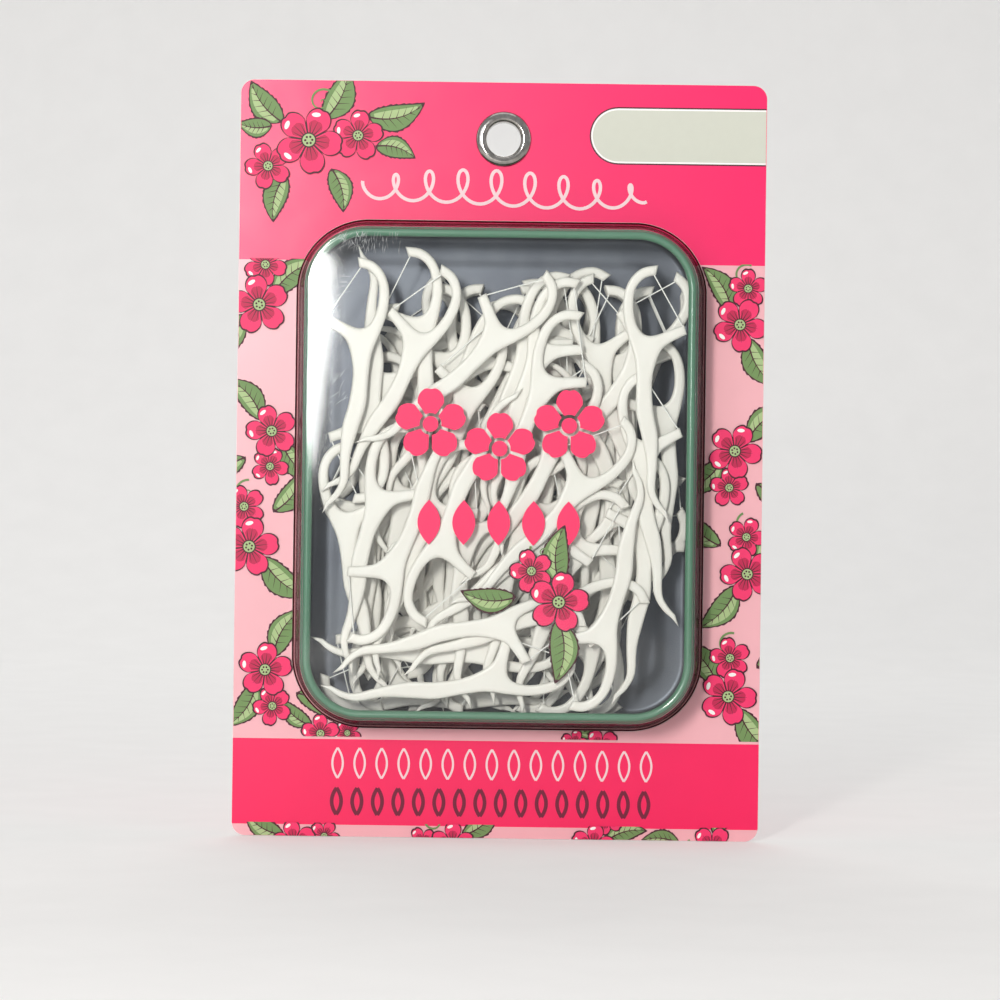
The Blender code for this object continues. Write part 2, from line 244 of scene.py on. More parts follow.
def plainBoard(name, code):
    # uncoated board: raw pulp, matt, with soft fibre clouds
    look = {"fibre": 0.7 * mm, "shades": (0.93, 1.03), "height": 0.01 * mm, "strength": 0.6}
    material, tree, where = startMaterial(name, {"Roughness": 0.85})
    pulp = addNode(
        tree, "ShaderNodeTexNoise", {"Scale": 1 / look["fibre"], "Detail": 5, "Roughness": 0.65},
        {"Vector": where},
    )
    shadeBase(tree, pulp, look["shades"], code)
    addNode(
        tree, "ShaderNodeBump", {"Distance": look["height"], "Strength": look["strength"]},
        {"Height": pulp}, into="Normal",
    )
    return material


def printInk(name, code, spread=0.05):
    # offset or screen ink: an opaque film with a slight unevenness
    look = {"cloud": 2.5 * mm}
    material, tree, where = startMaterial(name, {"Roughness": 0.5, "IOR": 1.38})
    film = addNode(tree, "ShaderNodeTexNoise", {"Scale": 1 / look["cloud"], "Detail": 3}, {"Vector": where})
    shadeBase(tree, film, (1 - spread, 1 + spread), code)
    return material


def clearPolyester(name, through):
    # thermoformed PET sheet: seen through, with a clean gloss that grows at grazing
    # angles. It lets through less light where it is seen edge on, and the tint it takes
    # there is painted shade: (slant, colour)
    look = {
        "squareOn": 0.032,  # matched to the object: PET itself reflects 0.049 a face
        "wave": 3 * mm, "stretch": (1, 1, 0.1), "waveHeight": 0.003 * mm, "roughness": 0.075,
    }
    material, tree, where = startMaterial(name)
    tree.nodes.remove(tree.nodes["Principled BSDF"])
    along = addNode(tree, "ShaderNodeMapping", {"Scale": look["stretch"]}, {"Vector": where})
    wave = addNode(  # the sheet's draw ripples, which run along its sides
        tree, "ShaderNodeTexNoise", {"Scale": 1 / look["wave"], "Detail": 1}, {"Vector": along}
    )
    bump = addNode(
        tree, "ShaderNodeBump", {"Distance": look["waveHeight"], "Strength": 1.0}, {"Height": wave}
    )
    gloss = addNode(tree, "ShaderNodeBsdfAnisotropic", {"Roughness": look["roughness"]}, {"Normal": bump})
    slant = addNode(tree, "ShaderNodeLayerWeight", {"Blend": 0.5}, {"Normal": bump}).outputs["Facing"]
    # the colour let through, by slant: painted shade where the sheet is seen edge on
    depth = addNode(tree, "ShaderNodeValToRGB", links={0: slant}, stops=through)
    clear = addNode(tree, "ShaderNodeBsdfTransparent", links={"Color": depth})
    # what it reflects, from square on to edge on: a Fresnel node would turn to total
    # reflection on the way out, as the light here isn't refracted
    steep = addNode(tree, "ShaderNodeMath", {1: 5.0}, {0: slant}, operation="POWER")
    share = addNode(
        tree, "ShaderNodeMapRange", {"To Min": look["squareOn"], "To Max": 1.0}, {"Value": steep}
    )
    addNode(tree, "ShaderNodeMixShader", links={0: share, 1: clear, 2: gloss}, into="Surface")
    return material


def scratchedPolyester():
    # where the sheet is scratched its surface scatters a little white
    look = {"white": "#F2F4F5", "wear": 1.5 * mm, "cover": (0.1, 0.75)}
    material, tree, where = startMaterial(
        "scratchedPolyester", {"Base Color": toLinear(look["white"]), "Roughness": 0.6}
    )
    worn = addNode(tree, "ShaderNodeTexNoise", {"Scale": 1 / look["wear"], "Detail": 2}, {"Vector": where})
    least, most = look["cover"]
    share = addNode(tree, "ShaderNodeMapRange", {"To Min": least, "To Max": most}, {"Value": worn})
    clear = addNode(tree, "ShaderNodeBsdfTransparent")
    white = tree.nodes["Principled BSDF"]
    addNode(tree, "ShaderNodeMixShader", links={0: share, 1: clear, 2: white}, into="Surface")
    return material


def greenEnamel():
    # stoved enamel on tinplate: a deep even colour under a wet-looking gloss,
    # with slight orange peel
    look = {
        "green": "#4A7E63", "cloud": 18 * mm, "shades": (0.92, 1.08),
        "peel": 1.6 * mm, "peelHeight": 0.012 * mm, "peelStrength": 0.7,
    }
    material, tree, where = startMaterial(
        "stovedGreenEnamel", {"Roughness": 0.3, "Coat Weight": 0.8, "Coat Roughness": 0.08}
    )
    cloud = addNode(tree, "ShaderNodeTexNoise", {"Scale": 1 / look["cloud"], "Detail": 3}, {"Vector": where})
    shadeBase(tree, cloud, look["shades"], look["green"])
    peel = addNode(tree, "ShaderNodeTexNoise", {"Scale": 1 / look["peel"], "Detail": 1}, {"Vector": where})
    addNode(
        tree, "ShaderNodeBump", {"Distance": look["peelHeight"], "Strength": look["peelStrength"]},
        {"Height": peel}, into="Normal",
    )
    return material


def bareTinplate():
    # electrolytic tinplate, bright but unpolished: rolled grain, drawing marks
    # and grey cloudy patches
    look = {
        "metal": "#5F636B", "dull": "#4E5159", "cloud": 16 * mm, "roughness": (0.36, 0.54),
        "grain": 0.35 * mm, "stretch": (1, 1, 0.04), "grainHeight": 0.004 * mm, "grainStrength": 0.5,
    }
    material, tree, where = startMaterial("bareRolledTinplate", {"Metallic": 1.0})
    cloud = addNode(
        tree, "ShaderNodeTexNoise", {"Scale": 1 / look["cloud"], "Detail": 6, "Roughness": 0.6},
        {"Vector": where},
    )
    stops = [(0.35, look["dull"]), (0.65, look["metal"])]
    addNode(tree, "ShaderNodeValToRGB", links={0: cloud}, stops=stops, into="Base Color")
    smooth, rough = look["roughness"]
    addNode(
        tree, "ShaderNodeMapRange", {"To Min": smooth, "To Max": rough}, {"Value": cloud}, into="Roughness"
    )
    along = addNode(tree, "ShaderNodeMapping", {"Scale": look["stretch"]}, {"Vector": where})
    grain = addNode(tree, "ShaderNodeTexNoise", {"Scale": 1 / look["grain"], "Detail": 2}, {"Vector": along})
    addNode(
        tree, "ShaderNodeBump", {"Distance": look["grainHeight"], "Strength": look["grainStrength"]},
        {"Height": grain}, into="Normal",
    )
    return material


def nickelPlate():
    # bright nickel on pressed steel: a warm mirror with faint spinning marks
    look = {"deep": "#8C8883", "bright": "#A6A29D", "marks": 1.2 * mm, "roughness": (0.06, 0.14)}
    material, tree, where = startMaterial("brightNickelPlate", {"Metallic": 1.0})
    marks = addNode(tree, "ShaderNodeTexNoise", {"Scale": 1 / look["marks"], "Detail": 4}, {"Vector": where})
    smooth, rough = look["roughness"]
    addNode(
        tree, "ShaderNodeMapRange", {"To Min": smooth, "To Max": rough}, {"Value": marks}, into="Roughness"
    )
    stops = [(0.3, look["deep"]), (0.7, look["bright"])]
    addNode(tree, "ShaderNodeValToRGB", links={0: marks}, stops=stops, into="Base Color")
    return material


def mouldedPolystyrene():
    # impact polystyrene, injection moulded and natural white: waxy, slightly
    # translucent, with soft flow marks along the part
    look = {
        "white": "#ECEAE5", "shadeWhite": "#E7E4DE", "flow": 4 * mm, "stretch": (1, 1, 0.3),
        "skin": 0.4 * mm, "skinHeight": 0.01 * mm, "skinStrength": 0.4,
    }
    material, tree, where = startMaterial("mouldedImpactPolystyrene", {"Roughness": 0.42, "IOR": 1.59})
    along = addNode(tree, "ShaderNodeMapping", {"Scale": look["stretch"]}, {"Vector": where})
    flow = addNode(tree, "ShaderNodeTexNoise", {"Scale": 1 / look["flow"], "Detail": 3}, {"Vector": along})
    stops = [(0.3, look["shadeWhite"]), (0.7, look["white"])]
    addNode(tree, "ShaderNodeValToRGB", links={0: flow}, stops=stops, into="Base Color")
    grain = addNode(tree, "ShaderNodeTexNoise", {"Scale": 1 / look["skin"], "Detail": 1}, {"Vector": where})
    addNode(
        tree, "ShaderNodeBump", {"Distance": look["skinHeight"], "Strength": look["skinStrength"]},
        {"Height": grain}, into="Normal",
    )
    return material


def flossThread():
    # waxed polyethylene floss: hundreds of parallel filaments, bright and satin
    look = {"shade": "#EDEDEA", "bright": "#FBFBF9", "filament": 0.25 * mm}
    material, tree, where = startMaterial("waxedPolyethyleneThread", {"Roughness": 0.35})
    filament = addNode(
        tree, "ShaderNodeTexNoise", {"Scale": 1 / look["filament"], "Detail": 2}, {"Vector": where}
    )
    stops = [(0.3, look["shade"]), (0.7, look["bright"])]
    addNode(tree, "ShaderNodeValToRGB", links={0: filament}, stops=stops, into="Base Color")
    return material


coated = coatedBoard("varnishedCoatedBoard", (
    (0, "#F51064"), (51, "#F0B2BA"), (187, "#F40C5A"), (211.6, "#F0B0B8"),
))
coatedBack = coatedBoard("varnishedBoardBack", ((0, "#F51064"), (187, "#F0B0B8")))
boardCore = plainBoard("rawBoardEdge", "#F2E6E4")
boardBack = plainBoard("uncoatedBoardBack", "#ECE7E2")
# the sheet seen edge on takes a painted maroon shade, not a colour of its own
polyester = clearPolyester("clearThermoformedPolyester", ((0.82, "#FEFFFE"), (1, "#B98D9A")))
# where the sheet turns, it bends the light aside like a lens; the dark line it shows there is painted shade,
# a dark tint given to the sheet's bend strips
polyesterPaintedBendShade = clearPolyester("thermoformedPolyesterPaintedBendShade", ((0, "#8A5263"), (1, "#6E3B4C")))
enamel = greenEnamel()
tinplate = bareTinplate()
nickel = nickelPlate()
polystyrene = mouldedPolystyrene()
thread = flossThread()
inks = {
    "maroon": printInk("maroonInk", "#40081D"),
    "wine": printInk("wineInk", "#6E0730"),
    "hotPink": printInk("hotPinkInk", "#F1306B"),
    "rose": printInk("roseInk", "#C2184E"),
    "leaf": printInk("leafGreenInk", "#6F8F55"),
    "paleLeaf": printInk("paleLeafInk", "#A9C088"),
    "white": printInk("whiteInk", "#FAF6F5", 0.02),
    "blush": printInk("blushInk", "#F3D3D8", 0.02),
    "tab": printInk("tabInk", "#CED1C4", 0.02),
    "windowPink": printInk("screenPrintedPinkInk", "#FF2D68", 0.03),
    "scuff": scratchedPolyester(),
}
print("materials:", len(bpy.data.materials))

# card
card = {
    "cornerRadius": 4 * mm, "edgeBevel": 0.06 * mm, "windowEdge": 3.95 * mm,
    "eyeletHole": 5.8 * mm, "holeSteps": 64, "doorGap": 0.3 * mm, "smoothAngle": 10,
    # the door's perforation: ties of board left in the cut
    "tiePitch": 11 * mm, "tieLength": 1.5 * mm, "tieOut": 0.24 * mm, "tieDepth": 0.2 * mm,
}


def cardLoop(steps=16):
    middle = (0, (cardLow.z + cardHigh.z) / 2)
    return roundedLoop(cardHigh.x - cardLow.x, cardHeight, card["cornerRadius"], steps, middle)


def boardMesh(name, loops, back, front):
    # a flat board with openings: the first loop is its outline, the others are cut out
    curve = bpy.data.curves.new(name, "CURVE")
    curve.dimensions = "2D"
    curve.fill_mode = "BOTH"
    curve.extrude = (back - front) / 2 - card["edgeBevel"]
    curve.bevel_depth = card["edgeBevel"]
    curve.bevel_resolution = 1
    curve.offset = -card["edgeBevel"]
    for loop in loops:
        spline = curve.splines.new("POLY")
        spline.points.add(len(loop) - 1)
        for point, place in zip(spline.points, loop):
            point.co = (place.x, place.y, 0, 1)
        spline.use_cyclic_u = True
    holder = addObject(name, curve)
    mesh = evaluatedMesh(holder)
    bpy.data.objects.remove(holder, do_unlink=True)
    mesh.transform(Matrix.Translation((0, (back + front) / 2, 0)) @ standUp)
    shape = bmesh.new()
    shape.from_mesh(mesh)
    bmesh.ops.remove_doubles(shape, verts=shape.verts, dist=0.001 * mm)
    bmesh.ops.recalc_face_normals(shape, faces=shape.faces)
    for face in shape.faces:  # 0 is the front face, 1 the cut edge and 2 the back
        face.material_index = 1
        if abs(face.normal.y) > 0.99:
            face.material_index = 0 if face.normal.y < 0 else 2
    return meshFrom(shape, name, card["smoothAngle"])


def makeTies(loop):
    # torn board ties that stand out of the door's edge into the cut round it
    shape = bmesh.new()
    run = 0.0
    due = card["tiePitch"] / 2
    for i, point in enumerate(loop):
        side = point - loop[i - 1]
        while due < run + side.length:
            place = loop[i - 1] + side.normalized() * (due - run)
            along = Vector((side.x, 0, side.y)).normalized()
            out = along.cross(Vector((0, 1, 0)))
            if out.x * place.x + out.z * (place.y - tinMiddleZ) < 0:
                out = -out
            middle = Vector((place.x, (doorLow.y + doorHigh.y) / 2, place.y)) + out * card["tieOut"] / 2
            turn = Matrix((along, (0, 1, 0), out)).transposed().to_4x4()
            size = Matrix.Diagonal((card["tieLength"], card["tieDepth"], card["tieOut"], 1))
            bmesh.ops.create_cube(shape, matrix=Matrix.Translation(middle) @ turn @ size)
            due += card["tiePitch"]
        run += side.length
    bmesh.ops.recalc_face_normals(shape, faces=shape.faces)
    addPiece("doorTies", meshFrom(shape, "door_ties"), [boardCore], "back_door")


def makeCard():
    eyeletHole = ringLoop(card["eyeletHole"], card["holeSteps"])
    doorOut = doorHigh.x - tinWidth / 2
    door = tinLoop(-doorOut)
    opening = tinLoop(-(doorOut + card["doorGap"]))
    front = boardMesh(
        "front_ply_board", [cardLoop(), tinLoop(-card["windowEdge"]), eyeletHole], cardHigh.y, cardLow.y
    )
    back = boardMesh("back_ply_board", [cardLoop(), opening, eyeletHole], backHigh.y, backLow.y)
    panel = boardMesh("back_door_board", [door], doorHigh.y, doorLow.y)
    addPiece("frontPly", front, [coated, boardCore, boardBack], "pack", ["front_ply"])
    addPiece("backPly", back, [coated, boardCore, coatedBack], "pack", ["back_ply"])
    addPiece("backDoor", panel, [boardBack, boardCore, coatedBack], "back_door", ["back_door"])
    makeTies(door)


makeCard()
print("card")

# blister: a formed bubble whose flange is held between the plies
blister = {
    "sheet": 0.35 * mm, "clearance": 0.35 * mm, "draft": 2.5 * mm, "bend": 1.5 * mm,
    "foot": 0.7 * mm, "dome": 0.8 * mm, "domePower": 4, "bendSteps": 9, "footSteps": 5,
    "rings": (0.985, 0.96, 0.92, 0.86, 0.78, 0.68, 0.55, 0.38, 0.18),
    # these strips are painted shade, dark where the real sheet's bends refract the light aside
    "bendShadeLines": 4, "footShadeLines": 2,  # strips of the outer face that show as dark lines
}


def bubbleFace(offset, front, bend, footY):
    # (inset, depth) places of one face, from the flange to the edge of its front
    draft = blister["draft"]
    foot = blister["foot"]
    wallTop = offset + draft / (footY - front) * bend
    flank = bendArc((0, 0), foot, 90, -90, blister["footSteps"])
    places = [(inset - (offset + draft + foot), footY - foot - y) for inset, y in flank]
    return places + bendArc((bend - wallTop, front + bend), bend, 180, -90, blister["bendSteps"])


def domedRings(inset, front):
    dome = blister["dome"]
    power = blister["domePower"]
    return [ringAt(tinLoop(inset, share), front - dome * (1 - share ** power)) for share in blister["rings"]]


bubbleFront = bubbleLow.y + blister["dome"]  # the outer face's edge, before its dome
bubbleInset = (
    blister["bend"] - blister["clearance"] - blister["sheet"]
    - blister["draft"] / (-blister["sheet"] / 2 - bubbleFront) * blister["bend"]
)


def makeBlister():
    sheet = blister["sheet"]
    bend = blister["bend"]
    outer = bubbleFace(blister["clearance"] + sheet, bubbleFront, bend, -sheet / 2)
    inner = bubbleFace(blister["clearance"], bubbleFront + sheet, bend - sheet, sheet / 2)
    outerRings = [ringAt(tinLoop(inset), y) for inset, y in outer]
    outerRings += domedRings(outer[-1][0], bubbleFront)
    innerRings = [ringAt(tinLoop(inset), y) for inset, y in inner]
    innerRings += domedRings(inner[-1][0], bubbleFront + sheet)
    edge = cardLoop(tin["cornerSteps"])
    flange = [ringAt(edge, -sheet / 2), ringAt(edge, sheet / 2)]
    bendEnd = len(blister["rings"]) + blister["bendSteps"]
    footEnd = bendEnd + 1 + blister["footSteps"]
    # the bend and foot strips get the painted-shade material
    dark = [*range(bendEnd - blister["bendShadeLines"], bendEnd), *range(footEnd - blister["footShadeLines"], footEnd)]
    shape = loft(outerRings[::-1] + flange + innerRings, lambda strip: 1 if strip in dark else 0)
    mesh = meshFrom(shape, "blister_sheet")
    piece = addPiece("clearBlister", mesh, [polyester, polyesterPaintedBendShade], "pack", ["blister"])
    hole = bmesh.new()
    bmesh.ops.create_cone(
        hole, cap_ends=True, segments=card["holeSteps"], radius1=card["eyeletHole"],
        radius2=card["eyeletHole"], depth=4 * sheet, matrix=standUp,
    )
    cutter = addObject("cutter", meshFrom(hole, "cutter"))
    cut = piece.modifiers.new("eyelet hole", "BOOLEAN")
    cut.operation = "DIFFERENCE"
    cut.object = cutter
    holed = evaluatedMesh(piece)
    piece.modifiers.clear()
    piece.data = holed
    bpy.data.objects.remove(cutter, do_unlink=True)


makeBlister()
print("blister")

# eyelet: a turned barrel from the front, rolled over a washer behind the card
eyelet = {
    "bore": 4.9 * mm, "wall": 0.6 * mm, "mouth": 1.05 * mm, "flange": 7.85 * mm,
    "seatGap": 0.1 * mm, "sheet": 0.4 * mm, "washerHole": 5.8 * mm, "washerDome": 0.5 * mm,
    "roll": 6.7 * mm, "rollGap": 0.3 * mm, "steps": 96,
    # small lips and eased edges of the flange, the roll and the washer
    "flangeLip": 0.15 * mm, "flangeEase": 0.06 * mm, "rollLip": 0.25 * mm, "rollEase": 0.12 * mm,
    "washerLip": 0.3 * mm,
}


def turned(profile):
    # a closed run of (radius, depth) places, turned round the hole's axis
    return loft([ringAt(ringLoop(radius, eyelet["steps"]), y) for radius, y in profile], closed=True)


def makeEyelet():
    low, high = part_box("eyelet_barrel")
    bore = eyelet["bore"]
    flange = eyelet["flange"]
    mouth = eyelet["mouth"]
    barrel = bore + eyelet["wall"]
    seat = cardLow.y - eyelet["seatGap"]
    foot = seat - eyelet["flangeLip"]
    profile = arc((bore + mouth, low.y + mouth), mouth, mouth, 180, 270, 10)
    profile += arc((bore + mouth, foot), flange - bore - mouth, foot - low.y, 270, 360, 14)[1:]
    profile += [(flange - eyelet["flangeEase"], seat), (barrel, seat)]
    washerBack = backHigh.y + eyelet["seatGap"] + eyelet["washerDome"] + eyelet["sheet"]
    rollSeat = washerBack + eyelet["rollGap"]
    half = (eyelet["roll"] - bore) / 2
    rollFoot = rollSeat + eyelet["rollLip"]
    profile += [(barrel, rollSeat), (eyelet["roll"] - eyelet["rollEase"], rollSeat)]
    profile += arc((bore + half, rollFoot), half, high.y - rollFoot, 0, 180, 18)
    mesh = meshFrom(turned(profile), "eyelet_barrel_turned")
    addPiece("eyeletBarrel", mesh, [nickel], "pack", ["eyelet_barrel"])
    seat = backHigh.y + eyelet["seatGap"]
    lip = eyelet["washerLip"]
    profile = [(eyelet["washerHole"], seat), (flange - eyelet["flangeEase"], seat)]
    profile += arc(
        (eyelet["roll"], seat + lip), flange - eyelet["roll"], washerBack - seat - lip, 0, 90, 12
    )
    profile.append((eyelet["washerHole"], washerBack))
    mesh = meshFrom(turned(profile), "eyelet_washer_turned")
    addPiece("eyeletWasher", mesh, [nickel], "pack", ["eyelet_washer"])


makeEyelet()
print("eyelet")

# print: thin films of ink, each a hair in front of the last. The motifs are plain
# blossoms, leaves and rows of marks drawn from formulas. A film belongs to a field,
# and is trimmed to it: (left, right, bottom, top) in mm
fields = {
    "top": (-74.8, 74.8, -34.8, 16.05),
    "middle": (-74.8, 74.8, -170.8, -34.8),
    "band": (-74.8, 74.8, -195.4, -170.8),
    "strip": (-71.2, 71.2, -199.15, -195.4),
    "window": (-51, 51, -155, -28.6),
}
films = {
    "lift": 0.012 * mm, "windowLift": 0.006 * mm, "hairs": 59, "grid": 4 * mm,
    "sheetDepth": 0.3 * mm, "line": 0.48 * mm, "windowSteps": 8,
}
bloom = {  # a blossom's parts, as shares of its radius
    "shadeReach": 0.66, "veinStart": 0.2, "veinMiddle": 0.4, "veins": ((-17, 0.52), (0, 0.62), (17, 0.52)),
    "veinWidths": (0.3 * mm, 0.05 * mm), "lightPlace": (0.74, 0.13), "lightSize": (0.13, 0.26),
    "lit": (60, 215),  # the petals lit from the upper left, by their way in degrees
    "heart": 0.44, "seed": 0.36, "stamens": 6, "stamenReach": 0.1, "stamen": 0.07,
}
foliage = {
    "teeth": 9, "lightHalf": 0.72, "ribWidths": (0.5 * mm, 0.3 * mm, 0.08 * mm), "veins": 6,
    "veinPitch": 0.12, "veinReach": 0.8, "veinWidths": (0.22 * mm, 0.05 * mm),
    "curl": 520, "shootWidths": (0.65 * mm, 0.4 * mm, 0.15 * mm),
}
# the top's looped flourish and empty tab, in mm
flourish = {
    "places": 260, "loops": 8.5, "left": -40, "long": 81, "height": -14.6, "swingAcross": 3.6,
    "swingUp": 4.9, "line": 0.95 * mm, "stroke": 5, "strokePitch": 3,
}
tab = {"middle": 32.7, "right": 76, "height": 1.4, "tall": 16.4, "rim": 0.4, "band": 0.9}
onWindow = {
    "blossoms": ((-19.3, 3.2), (0, -3.4), (19.3, 3.2)), "blossomHeight": -85.1, "blossomRadius": 10.2,
    "heart": 4.4, "lozenges": 5, "lozengeStart": -19.4, "lozengePitch": 9.7, "lozengeHeight": -109.2,
    "lozengeBow": 6.4, "lozengeTall": 12.5,
}
scratch = {
    "seed": 3, "length": (0.8, 3.6), "stray": 0.3, "bow": 0.2, "widths": (0.03 * mm, 0.11 * mm, 0.03 * mm),
    # left, right, bottom and top in mm, lean, spread, count
    "areas": (
        (-45.5, -38, -33.5, -28.8, 75, 55, 60), (-38, -28, -34, -29, 88, 14, 28),
        (-48, -42, -48, -39, 5, 20, 22), (-50, -46, -58, -53, 5, 20, 14), (-50, -43, -77, -68, 52, 30, 34),
        (-50, -46.5, -92, -76, 80, 30, 20), (-50, -44, -60, -46, 80, 20, 14),
    ),
}
inked = []


def ink(field, colour, level, loop):
    inked.append((field, colour, level, loop))


def turnedPoint(x, z, turn):
    angle = math.radians(turn)
    return Vector((x * math.cos(angle) - z * math.sin(angle), x * math.sin(angle) + z * math.cos(angle)))


def polar(centre, reach, angle, turn):
    return centre + turnedPoint(reach * math.cos(angle), reach * math.sin(angle), turn)


def bentRun(a, b, c, steps=10):
    # from a to c, drawn towards b
    run = []
    for step in range(steps + 1):
        t = step / steps
        run.append(a * (1 - t) ** 2 + b * 2 * t * (1 - t) + c * t ** 2)
    return run


def strokeLoop(run, widths):
    # a stroke along the run, as wide as the widths spread along it
    left = []
    right = []
    for i, point in enumerate(run):
        along = (run[min(i + 1, len(run) - 1)] - run[max(i - 1, 0)]).normalized()
        side = Vector((-along.y, along.x))
        place = i / (len(run) - 1) * (len(widths) - 1)
        low = min(int(place), len(widths) - 2)
        width = widths[low] + (widths[low + 1] - widths[low]) * (place - low)
        left.append(point + side * width / 2)
        right.append(point - side * width / 2)
    return left + right[::-1]


def ovalLoop(centre, wide, tall, turn=0, steps=20):
    angles = [2 * math.pi * step / steps for step in range(steps)]
    return [centre + turnedPoint(wide / 2 * math.cos(a), tall / 2 * math.sin(a), turn) for a in angles]


def petalReach(angle, petals=5):
    # how far a blossom reaches at an angle, as a share of its radius
    beat = abs(math.cos(petals / 2 * angle))
    offset = (angle + math.pi / petals) % (2 * math.pi / petals) - math.pi / petals
    return (0.5 + 0.5 * beat ** 0.6) * (1 - 0.05 * math.exp(-(offset / 0.09) ** 2))


def blossomLoop(centre, radius, turn, steps=120):
    angles = [2 * math.pi * step / steps for step in range(steps)]
    return [polar(centre, radius * petalReach(angle), angle, turn) for angle in angles]


def petalLoop(centre, radius, turn, inset, spread=33, inner=0.2):
    edge = [math.radians(spread * (step / 11 - 1)) for step in range(23)]
    heart = [math.radians((spread - 4) * (1 - step / 2)) for step in range(5)]
    loop = [polar(centre, radius * petalReach(angle) - inset, angle, turn) for angle in edge]
    return loop + [polar(centre, radius * inner, angle, turn) for angle in heart]


def blossom(field, level, x, z, radius, turn):
    # an outlined blossom: petals, shaded towards the heart, veins, lights and stamens
    centre = Vector((x, z)) * mm
    radius = radius * mm
    ink(field, "maroon", level, blossomLoop(centre, radius, turn))
    for petal in range(5):
        way = turn + 72 * petal
        ink(field, "hotPink", level + 1, petalLoop(centre, radius, way, films["line"]))
        shade = petalLoop(centre, radius * bloom["shadeReach"], way, films["line"], 27)
        ink(field, "rose", level + 2, shade)
        for lean, reach in bloom["veins"]:
            start = centre + turnedPoint(radius * bloom["veinStart"], 0, way + lean)
            middle = centre + turnedPoint(radius * bloom["veinMiddle"], 0, way + lean * 1.15)
            end = centre + turnedPoint(radius * reach, 0, way + lean)
            ink(field, "maroon", level + 3, strokeLoop(bentRun(start, middle, end, 5), bloom["veinWidths"]))
        if bloom["lit"][0] < way % 360 < bloom["lit"][1]:
            out, aside = bloom["lightPlace"]
            wide, tall = bloom["lightSize"]
            light = centre + turnedPoint(radius * out, radius * aside, way)
            ink(field, "white", level + 3, ovalLoop(light, radius * wide, radius * tall, way + 24, 14))
    for colour, rise, size in (("maroon", 4, bloom["heart"]), ("paleLeaf", 5, bloom["seed"])):
        ink(field, colour, level + rise, ovalLoop(centre, radius * size, radius * size))
    size = radius * bloom["stamen"]
    for step in range(bloom["stamens"]):
        way = turn + 360 // bloom["stamens"] * step
        stamen = centre + turnedPoint(radius * bloom["stamenReach"], 0, way)
        ink(field, "maroon", level + 6, ovalLoop(stamen, size, size, 0, 8))


def leafSide(root, tip, bow, wide, inset, side, low=0.0, high=1.0, teeth=0):
    # places along one side of a leaf, at its half width less the inset
    along = tip - root
    square = Vector((-along.y, along.x)).normalized()
    run = []
    for step in range(33):
        t = low + (high - low) * step / 32
        spine = root + along * t + square * bow * 4 * t * (1 - t)
        half = wide / 2 * math.sin(math.pi * t ** 0.8) ** 0.85 - inset
        if teeth:
            half *= 1 + 0.12 * ((t * teeth) % 1 - 0.5)
        run.append(spine + square * side * max(half, 0))
    return run


def leaf(field, level, x, z, length, wide, turn, bow=0.12):
    # an outlined leaf with a toothed edge, a lighter half, its midrib and veins
    root = Vector((x, z)) * mm
    tip = root + turnedPoint(length * mm, 0, turn)
    spine = (root, tip, bow * length * mm)
    wide = wide * mm
    line = films["line"]
    up, down = (leafSide(*spine, wide, 0, side, teeth=foliage["teeth"]) for side in (1, -1))
    ink(field, "maroon", level, up + down[::-1][1:-1])
    up, down = (leafSide(*spine, wide, line, side, 0.06, 0.93) for side in (1, -1))
    ink(field, "leaf", level + 1, up + down[::-1])
    up = leafSide(*spine, wide * foliage["lightHalf"], line, 1, 0.12, 0.86)
    ink(field, "paleLeaf", level + 2, up + leafSide(*spine, 0, 0, 1, 0.12, 0.86)[::-1])
    rib = leafSide(*spine, 0, 0, 1, 0, 0.95)
    ink(field, "maroon", level + 3, strokeLoop(rib, foliage["ribWidths"]))
    for number in range(1, foliage["veins"] + 1):
        along = foliage["veinPitch"] * number
        for side in (-1, 1):
            start = leafSide(*spine, 0, 0, 1, 0, 0.11 + along)[-1]
            edge = leafSide(*spine, wide * foliage["veinReach"], line, side, 0, min(0.95, 0.2 + along))[-1]
            middle = (start + edge) / 2 + (start - root) * 0.02
            vein = bentRun(start, middle, edge, 4)
            ink(field, "maroon", level + 4, strokeLoop(vein, foliage["veinWidths"]))


def tendril(field, level, x, z, size, turn):
    # a curled shoot
    run = []
    for step in range(40):
        t = step / 39
        way = turn + foliage["curl"] * t
        run.append(Vector((x * mm, z * mm)) + turnedPoint(size * mm * (1 - t) ** 1.3, 0, way))
    ink(field, "leaf", level, strokeLoop(run, foliage["shootWidths"]))


def spray(field, x, z, turn, size=1.0, hand=1):
    # two blossoms over three leaves
    for lean, length, wide, reach, level in ((118, 15, 7, 4, 0), (-64, 14, 6.6, 4, 6), (24, 13, 6, 10, 12)):
        way = turn + lean * hand
        root = turnedPoint(reach * size, 0, way)
        leaf(field, level, x + root.x, z + root.y, length * size, wide * size, way, 0.12 * hand)
    bud = turnedPoint(9.6 * size, 0, turn - 18 * hand)
    tendril(field, 18, x + bud.x * 0.6, z + bud.y * 0.6 + 7 * size, 3.2 * size, turn)
    blossom(field, 19, x + bud.x, z + bud.y, 5.4 * size, turn + 30)
    blossom(field, 26, x, z, 7.4 * size, turn)


def markSides(x, z, wide, tall):
    # the two bent sides of a pointed oval, from its top to its foot
    top = Vector((x, z + tall / 2)) * mm
    foot = Vector((x, z - tall / 2)) * mm
    return [bentRun(top, Vector((x + side * wide, z)) * mm, foot, 12) for side in (-1, 1)]


